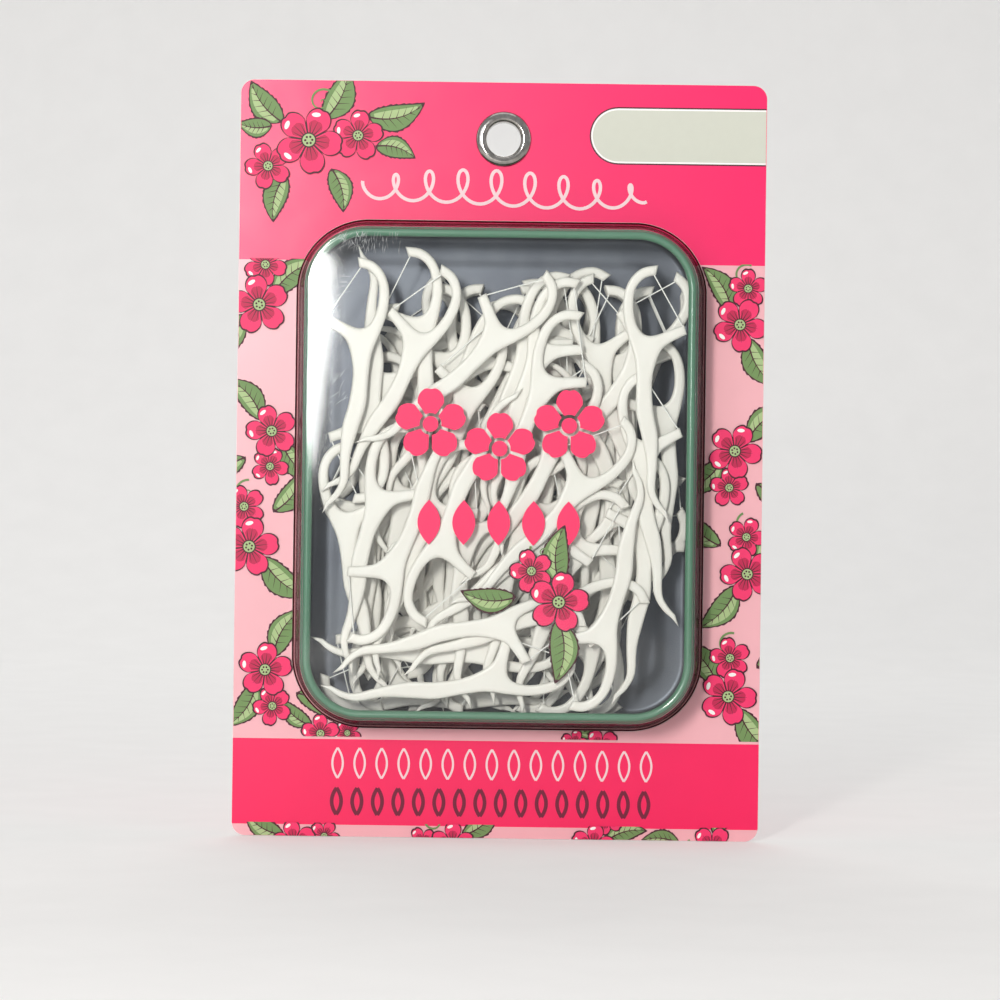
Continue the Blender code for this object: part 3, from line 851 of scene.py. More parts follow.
def drawTop():
    # a garland at the left, a flourish in the middle and an empty tab at the right
    for level, x, z, length, wide, turn, bow in (
        (0, -63, 4, 15, 8, 128, 0.1), (6, -51, 5, 16, 8.6, 66, -0.1), (12, -39, 6, 17, 8, 14, -0.14),
        (0, -36.5, -2.5, 12, 6.6, -16, 0.12), (12, -62, -11, 14, 7.4, -104, -0.1),
        (18, -66, 3, 10, 6, 176, 0.1), (0, -49, -9, 13, 7, -74, 0.1),
    ):
        leaf("top", level, x, z, length, wide, turn, bow)
    tendril("top", 24, -52, 10, 4, 40)
    for level, x, z, radius, turn in (
        (25, -41.5, 0.5, 7.6, 12), (32, -67, -8.5, 7, 40), (39, -55.5, -1, 10, 64),
    ):
        blossom("top", level, x, z, radius, turn)
    run = []
    for step in range(flourish["places"]):
        t = step / (flourish["places"] - 1)
        sway = 0.35 + 0.65 * math.sin(math.pi * t) ** 0.5
        swing = 2 * math.pi * flourish["loops"] * t
        x = flourish["left"] + flourish["long"] * t - flourish["swingAcross"] * sway * math.sin(swing)
        z = flourish["height"] + flourish["swingUp"] * sway * math.cos(swing) + math.sin(5 * t)
        run.append(Vector((x, z)) * mm)
    pitch = flourish["strokePitch"]
    for start in range(0, len(run) - 4, pitch):  # in short strokes, as the line crosses itself
        part = run[start:start + flourish["stroke"]]
        ink("top", "blush", start // pitch % 4, strokeLoop(part, (flourish["line"], flourish["line"])))
    for level, colour, inset in ((0, "maroon", 0), (1, "white", tab["rim"]), (2, "tab", tab["band"])):
        half = (tab["tall"] - 2 * inset) / 2
        loop = [Vector((tab["right"], tab["height"] + side * half)) * mm for side in (-1, 1)]
        ends = arc((tab["middle"], tab["height"]), half, half, 90, 270, 24)
        ink("top", colour, level, loop + [Vector(place) * mm for place in ends])


def drawMiddle():
    for x, z, turn, size, hand in (
        (-69, -48, 100, 1.2, 1), (-65, -84, 250, 1.05, -1), (-71, -117, 80, 1.2, -1),
        (-66, -152, 300, 1.1, 1), (68, -52, 60, 1.1, -1), (67, -88, 280, 1.1, 1),
        (71, -123, 110, 1.1, 1), (66, -158, 70, 1.15, -1), (-50, -170, 20, 0.8, 1), (30, -173, 190, 0.8, 1),
    ):
        spray("middle", x, z, turn, size, hand)


def drawLow():
    # two rows of plain marks, and the tops of a few motifs in the strip below them
    for colour, count, start, pitch, z, wide, tall, line in (
        ("blush", 15, -45, 6.28, -178.3, 3.0, 8.6, 0.6), ("wine", 16, -45.2, 5.84, -189.2, 2.7, 7.6, 1.05),
    ):
        for number in range(count):
            for level, run in enumerate(markSides(start + pitch * number, z, wide, tall)):
                ink("band", colour, level, strokeLoop(run, (line * mm, line * mm)))
    for x, turn in ((-57, 30), (-12, 160), (28, 80), (62, 200)):
        spray("strip", x, -201, turn, 0.9, 1 if turn < 100 else -1)


def drawWindow():
    # three plain blossoms over a row of lozenges and a spray, and the scratches of the sheet
    wide = onWindow["blossomRadius"] * mm
    heart = onWindow["heart"] * mm
    for x, z in onWindow["blossoms"]:
        centre = Vector((x, onWindow["blossomHeight"] + z)) * mm
        for petal in range(5):
            ink("window", "windowPink", 0, petalLoop(centre, wide, 90 + 72 * petal, 0, 32, 0.3))
        ink("window", "windowPink", 0, ovalLoop(centre, heart, heart))
    z = onWindow["lozengeHeight"]
    half = onWindow["lozengeTall"] / 2
    bow = onWindow["lozengeBow"]
    for number in range(onWindow["lozenges"]):
        x = onWindow["lozengeStart"] + onWindow["lozengePitch"] * number
        top, foot, left, right = (
            Vector(place) * mm for place in ((x, z + half), (x, z - half), (x - bow, z), (x + bow, z))
        )
        ink("window", "windowPink", 0, bentRun(top, left, foot, 12) + bentRun(foot, right, top, 12)[1:-1])
    spray("window", 17, -131, 150, 1.2, 1)
    rng = random.Random(scratch["seed"])
    least, most = scratch["length"]
    for left, right, low, high, lean, spread, count in scratch["areas"]:
        for number in range(count):
            start = Vector((rng.uniform(left, right), rng.uniform(low, high))) * mm
            turn = lean + rng.uniform(-spread, spread)
            stray = scratch["stray"]
            way = turnedPoint(rng.uniform(least, most) * mm, rng.uniform(-stray, stray) * mm, turn)
            middle = start + turnedPoint(0, scratch["bow"] * mm, turn)
            run = bentRun(start - way / 2, middle, start + way / 2, 4)
            ink("window", "scuff", 3 + number % 9, strokeLoop(run, scratch["widths"]))


def domeShare(x, z, inset):
    # the share at which the bubble's outline, drawn in, passes through a place
    x = abs(x)
    z = abs(z - tinMiddleZ)
    halfWide = tinWidth / 2 - inset
    halfTall = tinLength / 2 - inset
    radius = tin["cornerRadius"] - inset
    share = max(x / halfWide, z / halfTall)
    cornerX = halfWide - radius
    cornerZ = halfTall - radius
    if x > cornerX * share and z > cornerZ * share:
        dot = x * cornerX + z * cornerZ
        size = x * x + z * z
        past = cornerX ** 2 + cornerZ ** 2 - radius ** 2
        share = size / (dot + math.sqrt(dot * dot - size * past))
    return share


def insidePlan(points, loop):
    hit = np.zeros(len(points), bool)
    for i, b in enumerate(loop):
        a = loop[i - 1]
        if abs(b.y - a.y) > 1e-12:
            crosses = (a.y > points[:, 1]) != (b.y > points[:, 1])
            x = (b.x - a.x) * (points[:, 1] - a.y) / (b.y - a.y) + a.x
            hit ^= crosses & (points[:, 0] < x)
    return hit


def bisect(shape, place, way, drop=False):
    everything = shape.verts[:] + shape.edges[:] + shape.faces[:]
    bmesh.ops.bisect_plane(
        shape, geom=everything, dist=1e-8, plane_co=place, plane_no=way, clear_outer=drop
    )


def cutWindow(shape):
    # cuts the films along the card's window, and drops what lies over it
    edge = card["windowEdge"]
    loop = roundedLoop(
        tinWidth + 2 * edge, tinLength + 2 * edge, tin["cornerRadius"] + edge, films["windowSteps"],
        (0, tinMiddleZ),
    )
    for i, point in enumerate(loop):
        side = point - loop[i - 1]
        if side.length > 1e-6:
            bisect(shape, (point.x, 0, point.y), (side.y, 0, -side.x))
    middles = np.array([face.calc_center_median()[:] for face in shape.faces])[:, (0, 2)]
    over = [face for face, gone in zip(shape.faces[:], insidePlan(middles, loop)) if gone]
    bmesh.ops.delete(shape, geom=over, context="FACES")


def layOnBubble(shape):
    # the window's films lie in the clear sheet, so they follow its dome
    left, right, low, high = (value * mm for value in fields["window"])
    for line in np.arange(left, right, films["grid"]):
        bisect(shape, (line, 0, 0), (1, 0, 0))
    for line in np.arange(low, high, films["grid"]):
        bisect(shape, (0, 0, line), (0, 0, 1))
    for vert in shape.verts:
        share = domeShare(vert.co.x, vert.co.z, bubbleInset)
        face = bubbleFront - blister["dome"] * (1 - share ** blister["domePower"])
        vert.co.y += face - cardLow.y + films["sheetDepth"]


def filmShape(field, colour):
    lift = films["windowLift" if field == "window" else "lift"]
    shape = bmesh.new()
    for number, (where, which, level, loop) in enumerate(inked):
        if (where, which) == (field, colour):
            hair = (number % films["hairs"]) / films["hairs"]  # no two in one plane
            y = cardLow.y - lift * (level + 1 + hair)
            face = shape.faces.new([shape.verts.new(point) for point in ringAt(loop, y)])
            face.normal_update()
            if face.normal.y > 0:
                face.normal_flip()
    bmesh.ops.triangulate(shape, faces=shape.faces)
    return shape


def makeFilms():
    used = {(field, colour) for field, colour, level, loop in inked}
    for field, (left, right, low, high) in fields.items():
        for colour in inks:
            if (field, colour) not in used:
                continue
            shape = filmShape(field, colour)
            for place, way in (
                ((left, 0, 0), (-1, 0, 0)), ((right, 0, 0), (1, 0, 0)),
                ((0, 0, low), (0, 0, -1)), ((0, 0, high), (0, 0, 1)),
            ):
                bisect(shape, Vector(place) * mm, way, True)
            if field == "middle":
                cutWindow(shape)
            if field == "window":
                layOnBubble(shape)
            mesh = meshFrom(shape, f"{field}_{colour}_film")
            addPiece(f"{field}Print{colour[0].upper()}{colour[1:]}", mesh, [inks[colour]], "pack")


drawTop()
drawMiddle()
drawLow()
drawWindow()
makeFilms()
print("print:", len(inked), "films")

# tin: a drawn base with a curled rim, and a slip lid nested behind it
base = {
    "curl": 1.2 * mm, "floorBend": 2.5 * mm, "panelInset": 6 * mm, "panelSlope": 4.5 * mm,
    "panelStep": 0.5 * mm, "slopeSteps": 6, "bendSteps": 10, "curlSteps": 22, "curlSweep": 240,
}
lid = {
    "skirtGap": 0.3 * mm, "bend": 1.6 * mm, "hemHeight": 2.2 * mm, "hemOut": 0.6 * mm,
    "bendSteps": 10, "beadSteps": 3, "hemSteps": 6,
}


def panelStep(firstY, secondY):
    # the pressed step round the panel, eased at both ends
    places = []
    for number in range(base["slopeSteps"] + 1):
        share = number / base["slopeSteps"]
        ease = share * share * (3 - 2 * share)
        places.append((base["panelInset"] + base["panelSlope"] * share, firstY + (secondY - firstY) * ease))
    return places


def makeShell(outer, inner, name, meshName, node):
    # rings of (inset, depth) places: enamel outside, up to its tucked edge, and bare inside
    rings = [ringAt(tinLoop(inset), y) for inset, y in outer + inner]
    lastGreen = len(outer) - 1
    mesh = meshFrom(loft(rings, lambda strip: 0 if strip < lastGreen else 1), meshName)
    addPiece(name, mesh, [enamel, tinplate], node, [node])


def makeBase():
    sheet = tin["sheet"]
    curl = base["curl"]
    bend = base["floorBend"]
    floorBack = baseHigh.y
    panelBack = floorBack - base["panelStep"]
    turn = (bend, floorBack - bend)
    outer = panelStep(floorBack, panelBack)[::-1]
    outer += bendArc(turn, bend, -90, -90, base["bendSteps"])
    outer += bendArc((curl, baseLow.y + curl), curl, 180, -base["curlSweep"], base["curlSteps"])
    inner = [(sheet, baseLow.y + 2 * curl)]
    inner += bendArc(turn, bend - sheet, 180, 90, base["bendSteps"])
    inner += panelStep(floorBack - sheet, panelBack - sheet)
    makeShell(outer, inner, "tinBase", "tin_base_drawn", "tin_base")


def makeLid():
    sheet = tin["sheet"]
    face = lid["skirtGap"] + sheet
    bend = lid["bend"]
    border = lidHigh.y - base["panelStep"]
    edge = lidLow.y
    hem = lid["hemOut"]
    turn = (bend - face, border - bend)
    outer = panelStep(border, lidHigh.y)[::-1]
    outer += bendArc(turn, bend, -90, -90, lid["bendSteps"])
    outer.append((-face, edge + lid["hemHeight"]))
    bead = bendArc((0, -lid["hemHeight"] + 2 * hem), hem, 120, 60, lid["beadSteps"])
    outer += [(inset - face, edge + hem - y) for inset, y in bead]
    tuck = bendArc((0, 0), hem, 180, -90, lid["hemSteps"])
    outer += [(inset - face, edge + hem + y) for inset, y in tuck]
    inner = [(-lid["skirtGap"], edge)]
    inner += bendArc(turn, bend - sheet, 180, 90, lid["bendSteps"])
    inner += panelStep(border - sheet, lidHigh.y - sheet)
    makeShell(outer, inner, "tinLid", "tin_lid_pressed", "tin_lid")


makeBase()
makeLid()
print("tin")

# floss picks: a moulded body with a curved point at the end of its handle, and a
# thread across the mouth of its head. The frame holds 38 of them, and the rest
# of the pile is laid here in the room that is left
pick = {
    "length": 72 * mm, "thickness": 1.7 * mm, "edgeRound": 0.95 * mm, "support": 0.16 * mm,
    "thread": 0.36 * mm, "threadSides": 6, "threadBite": 0.7 * mm, "curveSteps": 3,
    "tailThinShare": 0.5, "tailFromShare": -0.60, "tailToShare": -0.71, "smoothAngle": 50,
    "roomShare": 0.6, "supportRoom": 1.25, "leastMitre": 0.6,
    "outerEdgeShares": (
        (0.1431, -0.7160), (0.1150, -0.6830), (0.0780, -0.6500), (0.0450, -0.5900),
        (0.0360, -0.4900), (0.0050, -0.3800), (-0.0220, -0.2900), (-0.0290, -0.1900),
        (-0.0420, -0.0950), (-0.0730, -0.0150), (-0.0990, 0.0650), (-0.1060, 0.1500),
        (-0.0850, 0.2180), (-0.0420, 0.2620), (0.0180, 0.2780),
    ),
    "innerEdgeShares": (
        (0.0120, 0.2390), (-0.0280, 0.2250), (-0.0580, 0.1900), (-0.0665, 0.1440),
        (-0.0590, 0.0760), (-0.0350, 0.0230), (-0.0020, 0.0030), (0.0350, 0.0090),
        (0.0760, 0.0280), (0.1360, 0.0560),
    ),
    "wingEdgeShares": (
        (0.1500, 0.0200), (0.0950, -0.0130), (0.0600, -0.0440), (0.0400, -0.1000),
        (0.0310, -0.1800), (0.0460, -0.2900), (0.0700, -0.3800), (0.0770, -0.4900),
        (0.0780, -0.5900), (0.1010, -0.6380), (0.1290, -0.6700),
    ),
    "threadEndShares": ((0.0060, 0.2370), (0.1290, 0.0530)),
    # how far in and how far forward the rounded edge runs, as shares
    "roundShares": ((0.0, 0.0), (0.05, 0.42), (0.22, 0.72), (0.5, 0.91), (1.0, 1.0)),
}


def smoothRun(shares, steps):
    # a smooth curve through the places, in metres
    places = [Vector(share) * pick["length"] for share in shares]
    run = []
    for i, (start, end) in enumerate(zip(places, places[1:])):
        before = places[max(i - 1, 0)]
        after = places[min(i + 2, len(places) - 1)]
        for step in range(steps):
            t = step / steps
            bend = (2 * before - 5 * start + 4 * end - after) * t ** 2
            twist = (3 * start - before - 3 * end + after) * t ** 3
            run.append((2 * start + (end - before) * t + bend + twist) / 2)
    return run + [places[-1]]


def pickOutline():
    edges = ("outerEdgeShares", "innerEdgeShares", "wingEdgeShares")
    return [point for edge in edges for point in smoothRun(pick[edge], pick["curveSteps"])]


def inwardNormals(loop):
    area = sum(loop[i - 1].x * point.y - loop[i - 1].y * point.x for i, point in enumerate(loop))
    hand = 1 if area > 0 else -1
    normals = []
    for i, point in enumerate(loop):
        before = (point - loop[i - 1]).normalized()
        after = (loop[(i + 1) % len(loop)] - point).normalized()
        side = Vector((-before.y - after.y, before.x + after.x)).normalized() * hand
        square = Vector((-after.y, after.x)) * hand
        normals.append(side / max(pick["leastMitre"], side.dot(square)))  # mitred at corners
    return normals


def halfWidths(loop, normals):
    # half the distance across the body from each point of its outline
    widths = []
    for i, point in enumerate(loop):
        nearest = 1.0
        way = normals[i].normalized()
        for j in range(len(loop)):
            k = (j + 1) % len(loop)
            edge = loop[k] - loop[j]
            cross = way.x * edge.y - way.y * edge.x
            if i in (j, k) or abs(cross) < 1e-12:
                continue
            gap = loop[j] - point
            along = (gap.x * edge.y - gap.y * edge.x) / cross
            onEdge = (gap.x * way.y - gap.y * way.x) / cross
            if along > 1e-7 and 0 <= onEdge <= 1:
                nearest = min(nearest, along)
        widths.append(nearest / 2)
    return widths


def pickBody(shape):
    # the outline drawn in step by step to a rounded edge, on both sides, and capped
    loop = pickOutline()
    normals = inwardNormals(loop)
    room = [pick["roomShare"] * width for width in halfWidths(loop, normals)]
    low = pick["tailFromShare"] * pick["length"]
    tip = pick["tailToShare"] * pick["length"]
    halves = []
    for point in loop:  # the handle's point is thinner
        share = min(1, max(0, (low - point.y) / (low - tip)))
        halves.append(pick["thickness"] / 2 * (1 - pick["tailThinShare"] * share))
    rounding = [(up, [min(pick["edgeRound"], width) * inward for width in room])
                for inward, up in pick["roundShares"]]
    support = pick["edgeRound"] + pick["support"]
    rounding.append((1.0, [min(support, width * pick["supportRoom"]) for width in room]))
    rows = []
    for side, levels in ((-1, rounding[::-1]), (1, rounding[1:])):
        for up, draws in levels:
            places = [point + normal * draw for point, normal, draw in zip(loop, normals, draws)]
            rows.append([
                shape.verts.new((place.x, side * up * half, place.y)) for place, half in zip(places, halves)
            ])
    skin(shape, rows)
    caps = [shape.faces.new(rows[0]), shape.faces.new(rows[-1])]
    shape.normal_update()
    bmesh.ops.triangulate(shape, faces=caps)


def threadPiece(shape, slot):
    start, end = (Vector((x, 0, z)) * pick["length"] for x, z in pick["threadEndShares"])
    turn = (end - start).normalized().to_track_quat("Z", "Y").to_matrix().to_4x4()
    made = bmesh.ops.create_cone(
        shape, cap_ends=True, segments=pick["threadSides"], radius1=pick["thread"] / 2,
        radius2=pick["thread"] / 2, depth=(end - start).length + 2 * pick["threadBite"],
        matrix=Matrix.Translation((start + end) / 2) @ turn,
    )
    for vert in made["verts"]:
        for face in vert.link_faces:
            face.material_index = slot


def pickMesh(name, body=True, strung=True):
    shape = bmesh.new()
    if body:
        pickBody(shape)
        bmesh.ops.recalc_face_normals(shape, faces=shape.faces)
    if strung:
        threadPiece(shape, 1 if body else 0)
    return meshFrom(shape, name, pick["smoothAngle"])


def placeOfNode(name):
    # where a pick of the frame lies, read from its farthest pair of corners and
    # from its wing, which tells which way it faces
    points = np.array([v.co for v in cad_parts[name].data.vertices])
    low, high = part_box(name)
    plan = points[:, (0, 2)]
    spread = plan[:, None, :] - plan[None, :, :]
    first, second = np.unravel_index(np.argmax((spread ** 2).sum(2)), (len(plan), len(plan)))
    tail = Vector(pick["outerEdgeShares"][0]) * pick["length"]
    arm = Vector(pick["outerEdgeShares"][-1]) * pick["length"]
    wing = Vector(pick["wingEdgeShares"][0]) * pick["length"]
    best = None
    for a, b in ((first, second), (second, first)):
        for facing in (1, -1):
            own = Vector(((arm.x - tail.x) * facing, arm.y - tail.y))
            seen = Vector(plan[b] - plan[a])
            turn = math.atan2(own.y, own.x) - math.atan2(seen.y, seen.x)
            spin = Matrix.Rotation(-turn, 2)
            shift = Vector(plan[a]) - spin @ Vector((tail.x * facing, tail.y))
            guess = spin @ Vector((wing.x * facing, wing.y)) + shift
            miss = np.sqrt(((plan - np.array(guess)) ** 2).sum(1)).min()
            if best is None or miss < best[0]:
                best = (miss, turn, shift, facing)
    miss, turn, shift, facing = best
    flip = Matrix.Rotation(0 if facing > 0 else math.pi, 4, "Z")
    middle = Vector((shift.x, (low.y + high.y) / 2, shift.y))
    return Matrix.Translation(middle) @ Matrix.Rotation(turn, 4, "Y") @ flip


def makeFramePicks():
    strung = pickMesh("strungPick")
    bare = pickMesh("bareReadyPick", strung=False)
    string = pickMesh("flossThread", body=False)
    places = []
    for name in sorted(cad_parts):
        if not name.startswith("pick_") or name.endswith("_floss"):
            continue
        place = placeOfNode(name)
        places.append(place)
        number = name.split("_")[1]
        floss = f"{name}_floss"
        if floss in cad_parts:
            addPiece(f"flossPick{number}", bare, [polystyrene], "tin_base", [name], place)
            addPiece(f"flossThread{number}", string, [thread], "tin_base", [floss], place)
        else:
            addPiece(f"flossPick{number}", strung, [polystyrene, thread], "tin_base", [name], place)
    return strung, places


strungPick, framePlaces = makeFramePicks()
print("picks of the frame:", len(framePlaces))

# the pile: the picks lie in level layers, as in the frame. Each layer is a fine
# grid that marks what its picks and walls take up, and the other picks
# are laid where they are free
pile = {
    "cell": 0.35 * mm, "seed": 7, "wallGap": 0.3 * mm, "floorCorner": 0.5 * mm,
    "looseSample": 2.2 * mm, "closeSample": 0.3 * mm, "nearest": 6 * mm, "frontStep": 1.78 * mm,
    "crossed": (0, 1, 2, 3), "crossedCount": 12, "crossedShift": 0.07 * mm, "crossedLean": 50,
    "crossedAcross": (-45, 45), "crossedUp": (-55, 45),  # mm from the tin's middle
    # turns tried by sight, and the leans of the rest: (how many to each side, degrees between)
    "wobbles": (0, 4, -4, 9, -9), "uprightLeans": (6, 7), "lyingLeans": (3, 10), "lyingTop": -5 * mm,
    "slope": (0.2, 0.7), "parts": 12,  # cells are tried in so many parts, to save memory
    # places seen in the pile, in mm from the tin's middle: across, up, turn, face down
    "seen": (
        (-38.9, 40.2, 0, True), (-5, 46, 40, True), (5.8, 38.7, 25, False), (7.9, 33.7, 25, False),
        (42.7, 39, 4, False), (35, 31.8, 3, False), (43, 19.9, 0, True), (36, 15.6, 0, False),
        (-34, 8, 188, False), (0, 18, 104, False), (-47, -20, 3, True), (-44, -24, -4, False),
        (5, -42, 86, False), (24, -20, 30, False), (12, -12, 28, True), (-4, -14, 22, False),
        (-16, -8, 30, False), (-26, -4, 12, False), (-34, 0, 20, False), (20, 2, 35, True),
        (14, 24, 30, False), (-14, 26, 15, True), (-25, 20, 24, False), (26, 14, -5, True),
        (-8, 38, -15, False), (22, 33, 12, True), (30, -2, 10, False), (-40, -30, 8, False),
        (-12, -30, 35, False), (6, -26, 25, True), (18, -34, 40, False), (-28, -36, 25, True),
    ),
    # bare metal: left, right, bottom and top of patches that the later picks leave free
    "bare": ((-55, 55, 59, 70), (-55, -38, 10, 60), (36, 55, -70, -36)),
}


def samplePick(spacing):
    # places that fill the plan of a pick; its thread gives way to its neighbours
    loop = pickOutline()
    xs = np.arange(min(p.x for p in loop), max(p.x for p in loop), spacing)
    zs = np.arange(min(p.y for p in loop), max(p.y for p in loop), spacing)
    grid = np.array([(x, z) for x in xs for z in zs])
    drawn = []
    for i, b in enumerate(loop):
        a = loop[i - 1]
        steps = max(1, math.ceil((b - a).length / spacing))
        drawn += [tuple(a + (b - a) * step / steps) for step in range(steps)]
    return np.vstack((grid[insidePlan(grid, loop)], np.array(drawn)))


def planOf(samples, turn, faceDown):
    # the samples as seen from the front, for a pick laid at the origin
    side = -1 if faceDown else 1
    c = math.cos(math.radians(turn))
    s = math.sin(math.radians(turn))
    x = samples[:, 0] * side
    return np.column_stack((c * x + s * samples[:, 1], c * samples[:, 1] - s * x))


def makeLayers(places):
    cell = pile["cell"]
    depths = sorted({round(place.translation.y, 6) for place in places}, reverse=True)
    depths.append(depths[-1] - pile["frontStep"])  # picks that ride up into the bubble
    x = (np.arange(math.ceil(tinWidth / cell)) + 0.5) * cell - tinWidth / 2
    z = (np.arange(math.ceil(tinLength / cell)) + 0.5) * cell - tinLength / 2
    radius = tin["cornerRadius"]
    overX = np.maximum(np.abs(x)[:, None] - (tinWidth / 2 - radius), 0)
    overZ = np.maximum(np.abs(z)[None, :] - (tinLength / 2 - radius), 0)
    inset = radius - np.hypot(overX, overZ)  # distance from the wall's outer face
    layers = []
    for depth in depths:
        need = tin["sheet"] + pile["wallGap"]
        if depth - pick["thickness"] / 2 < baseLow.y + 2 * base["curl"]:
            need = 2 * base["curl"] + pile["wallGap"]
        if depth == depths[0]:
            need += pile["floorCorner"]
        layers.append(inset < need)
    bare = np.zeros_like(layers[0])
    for left, right, bottom, top in pile["bare"]:
        inX = (x > left * mm) & (x < right * mm)
        inZ = (z > bottom * mm) & (z < top * mm)
        bare |= inX[:, None] & inZ[None, :]
    return {"x": x, "z": z, "depths": depths, "layers": layers, "bare": bare}


def markTaken(layer, i, j):
    wide, tall = layer.shape
    layer[np.clip(i, 0, wide - 1), np.clip(j, 0, tall - 1)] = True


def markFramePicks(room, places, samples):
    for place in places:
        spread = np.column_stack((samples[:, 0], np.zeros(len(samples)), samples[:, 1]))
        laid = spread @ np.array(place.to_3x3()).T + np.array(place.translation)
        i = ((laid[:, 0] + tinWidth / 2) / pile["cell"]).astype(int)
        j = ((laid[:, 2] - tinMiddleZ + tinLength / 2) / pile["cell"]).astype(int)
        depth = round(place.translation.y, 6)
        markTaken(room["layers"][room["depths"].index(depth)], i, j)


def freeSpots(taken, few, every, window):
    # the spots in the window (lowest and highest cell each way) at which a pick can
    # lie: a few of its cells leave some spots, and all of its cells are tried there
    lowI, highI, lowJ, highJ = window
    reach = int(np.abs(every).max()) + 1
    wide, tall = taken.shape
    padded = np.ones((wide + 2 * reach, tall + 2 * reach), bool)
    padded[reach:-reach, reach:-reach] = taken
    hit = np.zeros((highI - lowI, highJ - lowJ), bool)
    for i, j in few:
        hit |= padded[reach + lowI + i:reach + highI + i, reach + lowJ + j:reach + highJ + j]
    spots = np.argwhere(~hit) + (lowI, lowJ)
    for part in np.array_split(every, pile["parts"]):
        i = spots[:, 0, None] + part[None, :, 0] + reach
        j = spots[:, 1, None] + part[None, :, 1] + reach
        spots = spots[~padded[i, j].any(1)]
    return spots


def layPick(room, number, samples, turn, faceDown, wanted=None, slope=(0, 1), top=None):
    # near the wanted place, or else as far down the slope as it goes
    cell = pile["cell"]
    taken = room["layers"][number]
    wide, tall = taken.shape
    few, every = (
        np.unique(np.round(planOf(plan, turn, faceDown) / cell).astype(int), axis=0)
        for plan in samples
    )
    window = (0, wide, 0, tall)
    if wanted:
        i = round((wanted[0] + tinWidth / 2) / cell)
        j = round((wanted[1] + tinLength / 2) / cell)
        reach = round(pile["nearest"] / cell)
        window = (max(0, i - reach), min(wide, i + reach), max(0, j - reach), min(tall, j + reach))
    else:
        taken = taken | room["bare"]
        if top is not None:
            window = (0, wide, 0, round((top + tinLength / 2) / cell))
    spots = freeSpots(taken, few, every, window)
    if not len(spots):
        return None
    x = room["x"][spots[:, 0]]
    z = room["z"][spots[:, 1]]
    score = np.hypot(x - wanted[0], z - wanted[1]) if wanted else slope[0] * x + slope[1] * z
    best = int(np.argmin(score))
    i, j = spots[best]
    markTaken(room["layers"][number], every[:, 0] + i, every[:, 1] + j)
    place = Vector((x[best], room["depths"][number], z[best] + tinMiddleZ))
    spin = Matrix.Rotation(math.radians(turn), 4, "Y")
    flip = Matrix.Rotation(math.pi if faceDown else 0, 4, "Z")
    return Matrix.Translation(place) @ spin @ flip


def layCrossed(room, samples, rng):
    # behind the front layers the real picks also cross within a layer, one bent over
    # the other: here such picks lie across the laid ones, a hair apart in depth
    places = []
    walls = makeLayers([Matrix.Translation((0, depth, 0)) for depth in room["depths"][:-1]])
    lean = pile["crossedLean"]
    for number in pile["crossed"]:
        for cross in range(pile["crossedCount"]):
            turn = rng.choice((0, 180)) + rng.uniform(-lean, lean)
            wanted = tuple(rng.uniform(*span) * mm for span in (pile["crossedAcross"], pile["crossedUp"]))
            walls["layers"][number] |= room["bare"]
            spare = {**walls, "layers": [layer.copy() for layer in walls["layers"]]}
            place = layPick(spare, number, samples, turn, rng.random() < 0.5, wanted)
            if place:
                shift = (cross % 4 - 1.5) * pile["crossedShift"]
                places.append(Matrix.Translation((0, shift, 0)) @ place)
    return places


def layRest(framePlaces):
    room = makeLayers(framePlaces)
    samples = (samplePick(pile["looseSample"]), samplePick(pile["closeSample"]))
    markFramePicks(room, framePlaces, samples[1])
    rng = random.Random(pile["seed"])
    places = []
    count = len(room["depths"])
    for across, up, turn, faceDown in pile["seen"]:
        wanted = (across * mm, up * mm)
        place = None
        for wobble in pile["wobbles"]:
            for number in reversed(range(count)):  # from the front layer back
                place = place or layPick(room, number, samples, turn + wobble, faceDown, wanted)
        if place:
            places.append(place)
    print("picks laid by sight:", len(places))
    side, pitch = pile["uprightLeans"]
    upright = [lean + step * pitch for lean in (0, 180) for step in range(-side, side + 1)]
    side, pitch = pile["lyingLeans"]
    lying = [lean + step * pitch for lean in (90, 270) for step in range(-side, side + 1)]
    for number in range(count):
        slope = (rng.choice((-1, 1)) * rng.uniform(*pile["slope"]), 1)
        for leans, top in ((upright, None), (lying, pile["lyingTop"]), (upright, None)):
            for turn in rng.sample(leans, len(leans)):
                for faceDown in (False, True):
                    place = layPick(room, number, samples, turn, faceDown, None, slope, top)
                    if place:
                        places.append(place)
        print("layer", number, "picks", len(places) + len(framePlaces))
    places += layCrossed(room, samples, rng)
    print("picks:", len(places) + len(framePlaces))
    return places


for number, place in enumerate(layRest(framePlaces)):
    name = f"flossPick{number + len(framePlaces) + 1:03d}"
    addPiece(name, strungPick, [polystyrene, thread], "tin_base", (), place)

# camera at the photograph's place: level, square on, and rolled a little
camera = {
    "place": (0.3 * mm, -900.7 * mm, -102.8 * mm), "lens": 113.7, "sensor": 36, "roll": 0.75, "reach": 20,
}
studio = {
    "middle": (0, 0, -100 * mm),
    "lamps": {
        # bearing left of the camera, height angle, distance, width, height, roll, watts, colour
        "key": (13, 12, 1.2, 0.08, 0.22, 0, 6.9, "#FFFAF4"),
        "glare": (11.3, 6.0, 1.2, 0.08, 0.2, -22, 1.25, "#FFFFFF"),
        "fill": (24, 14, 1.2, 0.5, 0.5, 0, 1.6, "#F3F6FF"),
        "top": (5, 70, 1.7, 1.4, 1.0, 0, 3.6, "#FFFFFF"),
        "back": (175, 40, 1.6, 1.2, 0.8, 0, 12, "#FFFFFF"),
        "left": (92, 22, 1.6, 1.0, 1.0, 0, 2.4, "#FFFFFF"),
        "right": (-92, 22, 1.6, 1.0, 1.0, 0, 2.4, "#FFFFFF"),
    },
    "world": "#E4E6EA", "worldStrength": 0.24, "worldSeen": 0.7,
}
